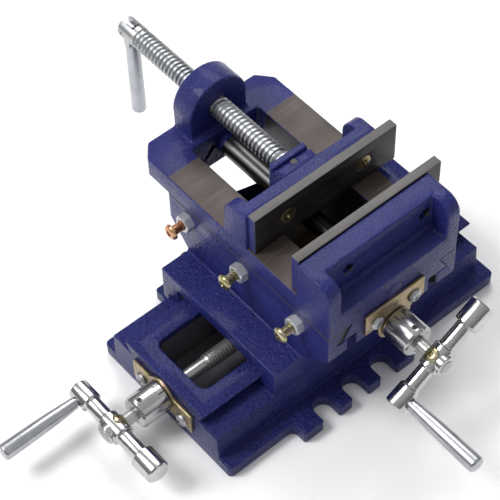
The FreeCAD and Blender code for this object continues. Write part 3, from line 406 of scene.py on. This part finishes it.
def hexagon_nut(place, across, height, bore):
    """A lock nut with turned bevels, from its seat along local X."""
    corner = across / math.sqrt(3)
    prism = bmesh.new()
    bmesh.ops.create_cone(prism, cap_ends=True, segments=6, radius1=corner, radius2=corner,
                          depth=height)
    bmesh.ops.transform(prism, matrix=Matrix.Translation((height / 2, 0, 0))
                        @ Matrix.Rotation(math.pi / 2, 4, "Y"), verts=prism.verts)
    envelope = lathe([(-0.1, 0), (-0.1, corner + 1), (height - 0.9, corner + 0.12),
                      (height, across / 2 - 0.25), (height, 0)], segments=48)
    bm = combine(prism, envelope, "INTERSECT")
    bm = combine(bm, lathe([(-1, 0), (-1, bore), (height - 0.5, bore), (height + 0.5, bore + 1),
                            (height + 0.5, 0)], segments=32), "DIFFERENCE")
    bmesh.ops.transform(bm, matrix=place, verts=bm.verts)
    smooth(bm, 25)
    return bm


def dressed(node, width, rule, planes=(), adjust=None):
    """A CAD solid with its edges rounded. The rule gives each edge its share of the width."""
    bm = bmesh.new()
    bm.from_mesh(nodes[node].data)
    bmesh.ops.transform(bm, matrix=Matrix.Scale(1 / MM, 4), verts=bm.verts)
    if adjust:
        for vertex in bm.verts:
            adjust(vertex.co)
    bmesh.ops.remove_doubles(bm, verts=bm.verts, dist=0.003)
    bmesh.ops.dissolve_degenerate(bm, edges=bm.edges, dist=0.003)
    bmesh.ops.dissolve_limit(bm, angle_limit=math.radians(0.8), verts=bm.verts, edges=bm.edges)
    for point, normal in planes:
        bmesh.ops.bisect_plane(bm, geom=bm.verts[:] + bm.edges[:] + bm.faces[:], dist=0.001,
                               plane_co=point, plane_no=normal)
    weights = bm.edges.layers.float.new("bevel_weight_edge")
    for edge in bm.edges:
        if len(edge.link_faces) == 2 and edge.calc_face_angle(0) > math.radians(28):
            concave = edge.calc_face_angle_signed(0) < 0
            edge[weights] = rule((edge.verts[0].co + edge.verts[1].co) / 2, concave)
    mesh = bpy.data.meshes.new("edges")
    bm.to_mesh(mesh)
    bm.free()
    item = bpy.data.objects.new("edges", mesh)
    bpy.context.scene.collection.objects.link(item)
    modifier = item.modifiers.new("edges", "BEVEL")
    modifier.limit_method = "WEIGHT"
    modifier.width = width
    modifier.segments = 3
    modifier.use_clamp_overlap = False
    result = bmesh.new()
    result.from_object(item, bpy.context.evaluated_depsgraph_get())
    bpy.data.objects.remove(item)
    bpy.data.meshes.remove(mesh)
    bmesh.ops.remove_doubles(result, verts=result.verts, dist=0.001)
    smooth(result, 40)
    return result


def repaint(bm, materials, choose):
    """Give each face the material that a rule picks from the face's middle, normal and corners."""
    for face in bm.faces:
        corners = [vertex.co for vertex in face.verts]
        material = choose(face.calc_center_median(), face.normal, corners)
        face.material_index = materials.index(material)


def near(value, target, slack):
    """Whether a value lies within a slack of its target."""
    return abs(value - target) < slack


# ---------------------------------------------------------------- castings

def base_edges(middle, concave):
    """Share of the edge width for each edge; the other rules of this kind do the same."""
    if concave:
        return 0.5 if middle.z > 5.5 else 0.25
    return 0.3


def base_paint(middle, normal, corners):
    """The pit between the ways is dark grey as painted shade of the deep recess."""
    in_pit = all(abs(c.y) < 21 and -91 < c.x < 80.3 and c.z < BASE_WAY_TOP + 0.1 for c in corners)
    return PIT_SHADE if in_pit and middle.z > 3 else PAINT


bm = dressed("base", EDGE_WIDTH, base_edges, [((0, 0, BASE_WAY_TOP), (0, 0, 1))])
paints = [PAINT, PIT_SHADE]
repaint(bm, paints, base_paint)
piece("base_casting", bm, paints, "base", "paint", "base")


def saddle_edges(middle, concave):
    at_side = abs(middle.x - CENTRE_X) > 40
    if middle.z > PARTING - 0.5:
        return 0.09
    if concave:
        return 0.7 if at_side or middle.z < 50 else 0.1
    return 0.32 if at_side or abs(middle.y) > 44 else 0.1


def saddle_paint(middle, normal, corners):
    """Bare seam under the vise body; the channel between the rails is oily steel, near-black as
    painted shade.
    """
    if middle.z > PARTING - 0.8:
        return SEAM
    in_channel = abs(middle.x - CENTRE_X) < 42 and middle.z > 48.5
    return OILY_SHADE if in_channel and abs(normal.y) < 0.5 else SMOOTH_PAINT


bm = dressed("saddle", EDGE_WIDTH, saddle_edges, [((0, 0, PARTING - 0.75), (0, 0, 1))])
paints = [SMOOTH_PAINT, SEAM, OILY_SHADE]
repaint(bm, paints, saddle_paint)
piece("saddle_casting", bm, paints, "saddle", "paint", "saddle")


def body_edges(middle, concave):
    at_guide_hole = math.hypot(middle.x - CENTRE_X, middle.z - GUIDE_Z) < 6.6
    at_screw_seat = abs(middle.x - CENTRE_X) < 28 and middle.z < PARTING
    if middle.y < -55 and (at_guide_hole or at_screw_seat):
        return 0.04
    if middle.z < PARTING + 0.5:
        return 0.09
    if near(middle.z, BODY_TOP, 0.5) and JAW_WALL_Y < middle.y < YOKE_PAINT_Y:
        return 0.1
    if concave:
        return 0.8
    return 0.2 if near(middle.y, JAW_WALL_Y - 0.3, 0.4) else 0.42


def body_paint(middle, normal, corners):
    """Opening and screw holes of oily steel, near-black as painted shade; milled ways with a
    painted strip, bare seam at the parting.
    """
    along_ways = middle.y < YOKE_PAINT_Y
    if -18.2 < middle.x < 31.2 and -35.3 < middle.y and along_ways and middle.z < 97.5:
        return OILY_SHADE
    across_hole = near(abs(middle.x - PLATE_X), JAW_SCREW_SPREAD, 3.1)
    in_hole = across_hole and near(middle.z, JAW_SCREW_Z, 3.2) and middle.y < JAW_WALL_Y - 1
    if in_hole and abs(normal.z) < 0.9 and len(corners) < 5:
        return OILY_SHADE
    if near(middle.z, BODY_TOP, 0.25) and normal.z > 0.9 and JAW_WALL_Y < middle.y and along_ways:
        return SMOOTH_PAINT if middle.x > STRIP_X and middle.y < STRIP_END_Y else WAY
    return SEAM if near(middle.z, PARTING, 0.3) and abs(normal.z) < 0.95 else SMOOTH_PAINT


def widen_foot(place):
    """Carry the sides of the arch straight down to the yoke."""
    side = place.x - CENTRE_X
    if 75.9 < place.y < 92.1 and BODY_TOP - 0.1 < place.z < 110.5 and 17.9 < abs(side) < 21:
        place.x = CENTRE_X + math.copysign(ARCH_HALF, side)


bm = dressed("vise_body", EDGE_WIDTH, body_edges,
             [((0, YOKE_PAINT_Y, 0), (0, 1, 0)), ((STRIP_X, 0, 0), (1, 0, 0)),
              ((0, STRIP_END_Y, 0), (0, 1, 0))], widen_foot)
paints = [SMOOTH_PAINT, WAY, SEAM, OILY_SHADE]
repaint(bm, paints, body_paint)
piece("vise_body_casting", bm, paints, "vise_body", "paint", "vise_body")


def jaw_edges(middle, concave):
    if middle.z < BODY_TOP + 0.3:
        return 0.1
    return 0.5 if concave else 0.3


def jaw_paint(middle, normal, corners):
    # The tongue under the ways is unpainted steel, near-black as painted shade.
    return OILY_SHADE if middle.z < BODY_TOP + 0.4 else SMOOTH_PAINT


bm = dressed("moving_jaw", EDGE_WIDTH, jaw_edges, [((0, 0, BODY_TOP + 0.4), (0, 0, 1))])
paints = [SMOOTH_PAINT, OILY_SHADE]
repaint(bm, paints, jaw_paint)
piece("moving_jaw_casting", bm, paints, "moving_jaw", "paint", "moving_jaw")


# ---------------------------------------------------------------- jaw plates and their screws

def every_edge(middle, concave):
    return 1.0


def plate_paint(middle, normal, corners):
    """The ends carry the castings' paint; the gripping faces get a darker copy of the ground steel
    as painted shade.
    """
    if abs(normal.x) > 0.9 and abs(middle.x - PLATE_X) > PLATE_HALF - 1:
        return SMOOTH_PAINT
    return PLATE_FACE_SHADE if abs(normal.y) > 0.8 else PLATE_STEEL


for label, body, out in (("fixed_jaw_plate", "vise_body", 1),
                         ("moving_jaw_plate", "moving_jaw", -1)):
    bm = dressed(label, 0.35, every_edge)
    paints = [PLATE_STEEL, SMOOTH_PAINT, PLATE_FACE_SHADE]
    repaint(bm, paints, plate_paint)
    piece(label + "_ground", bm, paints, body, "ground_steel", label)
    low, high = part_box(label + "_screws")
    face = (high.y if out > 0 else low.y) / MM
    screws = []
    for side, turn in ((-1, 0.3), (1, 0.9)):
        centre = Vector((PLATE_X + side * JAW_SCREW_SPREAD, face, JAW_SCREW_Z))
        place = Matrix.Translation(centre) @ Matrix.Rotation(out * math.pi / 2, 4, "Z")
        head = lathe([(-9, 0), (-9, 2.4), (-3, 2.4), (-2.6, 4.4), (-0.2, 4.85, 0.2), (0, 4.5),
                      (0, 0)], segments=40)
        cutter = cross_recess(0, 2.2, 5.2, Matrix.Rotation(turn, 4, "X"))
        head = combine(head, cutter, "DIFFERENCE")
        bmesh.ops.transform(head, matrix=place, verts=head.verts)
        smooth(head, 30)
        screws.append(head)
    piece(label + "_cross_screws", merge(*screws), YELLOW_ZINC, body, "black_steel",
          label + "_screws")


# ---------------------------------------------------------------- clamp screw and guide bar

SPINDLE = Matrix.Translation((CENTRE_X, 0, SPINDLE_Z)) @ Matrix.Rotation(math.pi / 2, 4, "Z")
THREAD_START, THREAD_END, THREAD_RADIUS = 23.5, 145.2, 6.45
fork = lathe([(144.5, 0), (144.5, 5.6), (THREAD_END, THREAD_RADIUS, 0.3),
              (158.4, THREAD_RADIUS, 0.5), (159.4, 5.6, 0.6), (159.5, 0)])
fork = combine(fork, block((148.5, -2.5, -8), (161, 2.5, 8)), "DIFFERENCE")
pin_hole = lathe([(-9, 0), (-9, 2.03), (9, 2.03), (9, 0)],
                 Matrix.Translation((LEVER_PIVOT[1], 0, 0)) @ Matrix.Rotation(math.pi / 2, 4, "Z"))
fork = combine(fork, pin_hole, "DIFFERENCE")
bmesh.ops.transform(fork, matrix=SPINDLE, verts=fork.verts)
smooth(fork, 30)
journal = lathe([(6.9, 0), (6.9, 4.1), (7.3, 4.45), (11.3, 4.45), (11.3, 3.3), (15.7, 3.3),
                 (15.7, 4.45), (21.2, 4.45), (21.2, 5.5), (22.2, 6.4, 0.2), (23.4, 6.4),
                 (23.9, 5.6), (24, 0)], SPINDLE)
screw = thread(THREAD_START, THREAD_END, THREAD_RADIUS, 5.3, CLAMP_PITCH, SPINDLE, 48)
piece("clamp_screw_threaded", merge(screw, fork, journal), ZINC, "clamp_screw", "zinc",
      "clamp_screw")

LEVER = Matrix.Translation(LEVER_PIVOT) @ Matrix.Rotation(-math.pi / 2, 4, "Y")
bar = lathe([(-67, 0), (-67, 3.6), (-66.2, 4.4, 0.5), (-10.5, 4.4, 0.8), (-8.9, 3.6, 0.4),
             (-8.6, 0)], LEVER)
tongue = combine(block((-10.5, -4.1, -2.4), (0, 4.1, 2.4)),
                 lathe([(-2.4, 0), (-2.4, 4.1), (2.4, 4.1), (2.4, 0)],
                       Matrix.Rotation(math.pi / 2, 4, "Y")), "UNION")
bmesh.ops.transform(tongue, matrix=LEVER @ Matrix.Rotation(math.pi / 2, 4, "X"), verts=tongue.verts)
pin_hole = lathe([(-6, 0), (-6, 2.06), (6, 2.06), (6, 0)], Matrix.Translation(LEVER_PIVOT))
tongue = combine(tongue, pin_hole, "DIFFERENCE")
smooth(tongue, 30)
piece("clamp_lever_bar", merge(bar, tongue), SATIN_ZINC, "clamp_lever", "zinc", "clamp_lever")
piece("lever_pin_peened",
      lathe([(-6.4, 0), (-6.4, 1.2), (-6.0, 1.95, 0.3), (6.0, 1.95, 0.3), (6.4, 1.2), (6.4, 0)],
            Matrix.Translation(LEVER_PIVOT), 32), ZINC, "clamp_screw", "zinc", "lever_pin")


def bar_paint(middle, normal, corners):
    """The ends were painted with the casting that holds them."""
    return BAR_STEEL if -64.8 <= middle.y <= 68 else SMOOTH_PAINT


GUIDE = Matrix.Translation((CENTRE_X, 0, GUIDE_Z)) @ Matrix.Rotation(math.pi / 2, 4, "Z")
bm = lathe([(-65.9, 0), (-65.9, 5.2), (-65.4, 5.95, 0.3), (60, 5.95), (68, 5.95), (84, 5.95),
            (84, 0)], GUIDE)
paints = [BAR_STEEL, SMOOTH_PAINT]
repaint(bm, paints, bar_paint)
piece("guide_bar_drawn", bm, paints, "vise_body", "bar_steel", "guide_bar")


# ---------------------------------------------------------------- lead screws, dials, cranks

BASE_PLACE = Matrix.Translation(BASE_SEAT)
CROSS_PLACE = Matrix.Translation(CROSS_SEAT) @ Matrix.Rotation(math.pi / 2, 4, "Z")
CROSS_TURNED = CROSS_PLACE @ Matrix.Rotation(math.radians(CROSS_CRANK_ANGLE), 4, "X")


def digit(number, turn, along):
    """A 0 or a 2 as thin strokes wrapped on the dial."""
    if number:
        line = [(-1.1, -1.0), (-0.9, -1.6), (-0.3, -1.95), (0.4, -1.9), (0.95, -1.5), (1.0, -0.9),
                (0.6, -0.2), (-1.15, 1.95), (1.15, 1.95)]
    else:
        line = [(1.25 * math.cos(step * math.pi / 10), 1.9 * math.sin(step * math.pi / 10))
                for step in range(21)]
    bm = bmesh.new()
    points = [Vector(point) for point in line]
    for first, second in zip(points, points[1:]):
        across = (second - first).orthogonal().normalized() * 0.34
        longer = (second - first).normalized() * 0.18
        corners = [first - longer - across, second + longer - across, second + longer + across,
                   first - longer + across]
        rings = []
        for lift in (-0.1, 0.03):
            radius = DIAL_RADIUS + lift
            rings.append([bm.verts.new((along + y, radius * math.sin(turn + x / DIAL_RADIUS),
                                        radius * math.cos(turn + x / DIAL_RADIUS)))
                          for x, y in corners])
        bm.faces.new(rings[0])
        bm.faces.new(rings[1])
        for index in range(4):
            after = (index + 1) % 4
            bm.faces.new((rings[0][index], rings[0][after], rings[1][after], rings[1][index]))
    bmesh.ops.recalc_face_normals(bm, faces=bm.faces)
    return bm


def dial_marks(place, zero, start, name, body):
    """Graduations and the plain numbers 0 and 2 on a dial, from the zero's angle."""
    marks = []
    for index in range(DIAL_DIVISIONS):
        turn = math.radians(zero - 360 / DIAL_DIVISIONS * index)
        numbered = index % (DIAL_DIVISIONS // 2) == 0
        low = start - (4.6 if numbered else 3.6)
        mark = block((low, -0.34, DIAL_RADIUS - 0.1), (start, 0.34, DIAL_RADIUS + 0.04))
        bmesh.ops.transform(mark, matrix=Matrix.Rotation(-turn, 4, "X"), verts=mark.verts)
        marks.append(mark)
        if numbered:
            marks.append(digit(index // 3, turn, start - 7))        # 0, and 2 at half a turn
    bm = merge(*marks)
    bmesh.ops.transform(bm, matrix=place, verts=bm.verts)
    piece(name, bm, INK, body, "dial_metal")


def lead_screw(word, place, start, reach):
    """A shaft with its thrust flange, and the thread from start to reach."""
    shaft = lathe([(-39.9, 0), (-39.9, 3.2, 0.3), (-39.5, 3.75, 0.3), (2.05, 3.75), (2.05, 3.95),
                   (2.05, 6.75), (6, 6.75), (6, 3.95), (start - 0.6, 3.95), (start, 4.4),
                   (start + 0.1, 0)], place)
    screw = thread(start, reach, 4.95, 4.05, SLIDE_PITCH, place)
    piece(word + "_lead_screw_threaded", merge(shaft, screw), SHAFT_STEEL, word + "_crank",
          "bar_steel", word + "_lead_screw")


def dial(word, place, zero, start):
    """A graduated collar and its grub screw. The marks start at one end, the zero at an angle."""
    body = word + "_crank"
    radial = place @ Matrix.Translation((DIAL_SCREW, 0, 0)) @ Matrix.Rotation(-math.pi / 2, 4, "Y")
    collar = lathe([(-0.3, 4.03), (-0.3, 9.3), (-0.75, DIAL_RADIUS, 0.25),
                    (-17.6, DIAL_RADIUS, 0.5), (DIAL_END, 8.6, 0.4), (DIAL_END, 7.0, 0.3),
                    (-18.1, 6.4, 0.3), (-18.1, 4.03)], place, 96, closed=True)
    collar = combine(collar, lathe([(3.5, 0), (3.5, 1.53), (12, 1.53), (12, 0)], radial, 24),
                     "DIFFERENCE")
    smooth(collar, 30)
    piece(word + "_dial_collar", collar, DIAL_METAL, body, "dial_metal", word + "_dial")
    dial_marks(place, zero, start, word + "_dial_marks", body)
    grub = lathe([(4.1, 0), (4.1, 1.4), (9.3, 1.47, 0.1), (9.45, 1.35), (9.45, 0)], radial, 24)
    piece(word + "_dial_grub", grub, BLACK_STEEL, body, "black_steel", word + "_dial_screw")


def crank(word, turned, lean):
    """An arm with its weight and grip. The hub screw leans towards the dial by an angle."""
    body = word + "_crank"
    hub = turned @ Matrix.Translation((HUB, 0, 0))
    side = hub @ Matrix.Rotation(math.radians(lean - 90), 4, "Y")
    weight = [(-38, 0), (-38, 6.0, 0.4), (-36.9, 7.2, 0.4), (-23.6, 7.2, 0.5), (-23, 6.5, 0.3)]
    middle = [(-22.6, ROD, 0.5), (-8.2, ROD, 0.6), (-7.4, 5.6, 0.3), (-7.1, 6.5, 0.4),
              (6.8, 6.5, 0.4), (7.1, 5.8, 0.3), (7.7, ROD, 0.5), (19.6, ROD, 0.5)]
    grip_boss = [(20.6, 5.7, 0.3), (20.9, 6.3, 0.4), (32.9, 6.3, 0.5), (33.8, 5.2, 0.5), (34, 0)]
    arm = lathe(weight + middle + grip_boss, hub @ Matrix.Rotation(math.pi / 2, 4, "Z"))
    arm = combine(arm, lathe([(4.9, 0), (4.9, 4.4), (9, 4.4), (9, 0)], side, 40), "DIFFERENCE")
    shaft_boss = lathe([(-5.5, 3.9), (-7.15, 3.9, 0.25), (-7.4, 4.3), (-7.4, 5.6, 0.4),
                        (-6.9, 6.1, 0.3), (-3.5, 6.1), (-3.5, 3.9)], hub, closed=True)
    arm = merge(arm, shaft_boss)
    smooth(arm, 30)
    piece(word + "_crank_arm_turned", arm, CHROME, body, "chrome", word + "_crank_arm")
    screw = lathe([(4.0, 0), (4.0, 2.1), (4.95, 2.1), (4.95, 4.0), (5.7, 4.2, 0.3), (6.6, 3.8, 0.6),
                   (7.2, 2.4, 0.5), (7.3, 0)], segments=40)
    screw = combine(screw, cross_recess(7.3, 1.8, 4.4, Matrix.Rotation(0.6, 4, "X")),
                    "DIFFERENCE")
    bmesh.ops.transform(screw, matrix=side, verts=screw.verts)
    smooth(screw, 30)
    piece(word + "_hub_screw_cross", screw, GREEN_ZINC, body, "black_steel", word + "_hub_screw")
    grip_place = hub @ Matrix.Translation((0, GRIP_ARM, 0))
    axle = lathe([(-37.8, 0), (-37.8, 2.1), (-37.4, 2.45), (3.0, 2.45), (3.0, 0)], grip_place, 32)
    piece(word + "_grip_axle_pin", axle, SHAFT_STEEL, body, "bar_steel", word + "_grip_axle")
    grip = lathe([(-6.8, 2.56), (-6.8, 3.1, 0.2), (-7.2, 3.45, 0.3), (-22, 4.35, 2), (-30, 4.6, 2),
                  (-54.6, 4.95, 0.9), (-55.6, 4.0, 0.6), (-55.8, 0), (-39.3, 0), (-39.3, 2.56)],
                 grip_place, closed=True)
    piece(word + "_crank_grip_turned", grip, SATIN_ZINC, word + "_grip", "chrome",
          word + "_crank_grip")


for word, place, turned, thread_span, dial_zero, dial_start, lean in (
        ("base", BASE_PLACE, BASE_PLACE, (31, 172), 37, -0.9, 40),
        ("cross", CROSS_PLACE, CROSS_TURNED, (14, 108.5), 77, -2.2, 12)):
    lead_screw(word, place, *thread_span)
    dial(word, place, dial_zero, dial_start)
    crank(word, turned, lean)


# ---------------------------------------------------------------- retaining plates

OUT_BASE = Matrix.Rotation(math.pi, 4, "Z")
OUT_CROSS = Matrix.Rotation(-math.pi / 2, 4, "Z")
for word, body, seat, rise, out, pitch, step in (
        ("base", "base", BASE_SEAT, BASE_SCREW_RISE, OUT_BASE, BASE_SCREW_PITCH, (0, 1, 0)),
        ("cross", "vise_body", CROSS_SEAT, CROSS_SCREW_RISE, OUT_CROSS, CROSS_SCREW_PITCH,
         (1, 0, 0))):
    bm = dressed(word + "_retaining_plate", 0.4, every_edge)
    piece(word + "_retaining_plate_pressed", bm, YELLOW_ZINC, body, "yellow_zinc",
          word + "_retaining_plate")
    screws = []
    for side, turn in ((-1, 0.2), (1, 0.75)):
        centre = Vector(seat) + Vector((0, 0, rise)) + Vector(step) * side * pitch / 2
        place = Matrix.Translation(centre) @ out
        screws.append(pan_screw(place, 4.2, 2.6, (2, 9), turn))
    piece(word + "_plate_cross_screws", merge(*screws), ZINC, body, "zinc", word + "_plate_screws")


# ---------------------------------------------------------------- gib screws and lock nuts

def row_of_nuts(low, high, steps):
    """Centres of three nuts that fill a span, in the order of the steps."""
    return [(low + high) / 2 / MM + step * ((high - low) / MM - NUT_CORNERS) / 2 for step in steps]


def gib_thread(start, end, place):
    """The 6 mm thread of a gib screw."""
    return thread(start, end, 2.88, 2.35, 1.0, place, 28)


low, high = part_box("cross_gib_nuts")
rail_face, gib_z = high.x / MM, (low.z + high.z) / 2 / MM
nuts, coppery, green = [], [], []
for index, y in enumerate(row_of_nuts(low.y, high.y, (1, 0, -1))):
    seat = Matrix.Translation((rail_face, y, gib_z)) @ Matrix.Rotation(math.pi, 4, "Z")
    nuts.append(hexagon_nut(seat @ Matrix.Rotation(0.2 + index * 0.35, 4, "X"), *LOCK_NUT))
    head = seat @ Matrix.Translation((11.5, 0, 0))
    group = coppery if index == 0 else green
    group.append(pan_screw(head, 4.8, 2.9, (2.3, 11), 0.3 + index))
    group.append(gib_thread(-7.3, 0.2, head))
piece("cross_gib_lock_nuts", merge(*nuts), NUT_ZINC, "saddle", "zinc", "cross_gib_nuts")
piece("cross_gib_screw_coppery", merge(*coppery), COPPER_ZINC, "saddle", "yellow_zinc")
piece("cross_gib_screws_cross", merge(*green), GREEN_ZINC, "saddle", "yellow_zinc",
      "cross_gib_screws")

low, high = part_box("base_gib_nuts")
skirt_face, gib_z = low.y / MM, (low.z + high.z) / 2 / MM
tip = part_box("base_gib_screws")[1].y / MM - skirt_face
nuts, screws = [], []
for index, x in enumerate(row_of_nuts(low.x, high.x, (-1, 0, 1))):
    seat = Matrix.Translation((x, skirt_face, gib_z)) @ Matrix.Rotation(math.pi / 2, 4, "Z")
    nuts.append(hexagon_nut(seat @ Matrix.Rotation(0.3 + index * 0.4, 4, "X"), *LOCK_NUT))
    stud = lathe([(-4, 0), (-4, 2.3), (tip, 2.3), (tip, 0)], seat, 32)
    driver_slot = block((tip - 1, -4, -0.45), (tip + 1, 4, 0.45), seat)
    screws.append(combine(stud, driver_slot, "DIFFERENCE"))
    screws.append(gib_thread(-1, tip - 0.1, seat))
piece("base_gib_lock_nuts", merge(*nuts), NUT_ZINC, "saddle", "zinc", "base_gib_nuts")
piece("base_gib_slotted_screws", merge(*screws), GREEN_ZINC, "saddle", "yellow_zinc",
      "base_gib_screws")

# CAD nodes whose shape is right keep their solids
# The gibs and the set screw sit in dark slits; their near-black oily steel is painted shade.
for node, material in (("spindle_set_screw", OILY_SHADE), ("base_screw_nut", BRONZE),
                       ("cross_screw_nut", BRONZE), ("base_nut_screw", BLACK_STEEL),
                       ("cross_nut_screws", BLACK_STEEL), ("base_gib", OILY_SHADE),
                       ("cross_gib", OILY_SHADE)):
    nodes[node].data.materials.clear()
    nodes[node].data.materials.append(material)


# ---------------------------------------------------------------- floor, light and camera

FLOOR, floor_shader = new_material("pale_floor", (0.97, 0.97, 0.97), 0.8)
bump(FLOOR, floor_shader, [(noise(FLOOR, 300), 0.02, 0.05)])
floor = piece("floor", block((-3000, -3000, -10), (3000, 3000, -0.05)), FLOOR, None, None)

# White to the camera, a soft sky from dim to bright to everything else
world = bpy.data.worlds.new("studio")
bpy.context.scene.world = world
world.use_nodes = True
tree = world.node_tree
background = tree.nodes["Background"]
background.inputs["Color"].default_value = (1, 1, 1, 1)
path = tree.nodes.new("ShaderNodeLightPath")
seen = tree.nodes.new("ShaderNodeMath")
seen.operation = "MAXIMUM"
tree.links.new(path.outputs["Is Camera Ray"], seen.inputs[0])
tree.links.new(path.outputs["Is Transmission Ray"], seen.inputs[1])
height = tree.nodes.new("ShaderNodeSeparateXYZ")
direction = tree.nodes.new("ShaderNodeTexCoord")
tree.links.new(direction.outputs["Generated"], height.inputs[0])
sky = tree.nodes.new("ShaderNodeMapRange")
for socket, value in (("From Min", 0.0), ("From Max", 0.9), ("To Min", 0.12), ("To Max", 0.6)):
    sky.inputs[socket].default_value = value
tree.links.new(height.outputs["Z"], sky.inputs["Value"])
strength = tree.nodes.new("ShaderNodeMix")
tree.links.new(seen.outputs[0], strength.inputs["Factor"])
tree.links.new(sky.outputs[0], strength.inputs["A"])
strength.inputs["B"].default_value = 1.0
tree.links.new(strength.outputs[0], background.inputs["Strength"])


LAMP_TARGET = Vector((0, 0, 0.06))


def lamp(name, place, size, power):
    """A square lamp that points at the middle of the vise. Place and size are in metres."""
    light = bpy.data.lights.new(name, "AREA")
    light.size = size
    light.energy = power
    item = bpy.data.objects.new(name, light)
    bpy.context.scene.collection.objects.link(item)
    item.location = place
    item.rotation_euler = (LAMP_TARGET - Vector(place)).to_track_quat("-Z", "Y").to_euler()


lamp("key", (-1.5, 0.9, 2.2), 1.0, 50)
lamp("top", (1.15, 1.35, 2.2), 1.3, 34)
lamp("front", (0.6, -2.1, 1.2), 1.2, 2)

CAMERA_PLACE = (-0.3911, -0.4393, 0.84063)          # metres
CAMERA_AXES = ((0.760427, -0.649093, -0.020707),    # right
               (0.527212, 0.598395, 0.6033),        # up
               (-0.379206, -0.469683, 0.797246))    # back
camera_data = bpy.data.cameras.new("camera")
camera_data.sensor_width = 36
camera_data.lens = 127.71
camera_data.clip_end = 20
camera = bpy.data.objects.new("camera", camera_data)
bpy.context.scene.collection.objects.link(camera)
camera.matrix_world = Matrix.Translation(CAMERA_PLACE) @ Matrix(CAMERA_AXES).transposed().to_4x4()
bpy.context.scene.camera = camera
bpy.context.scene.view_settings.view_transform = "Standard"
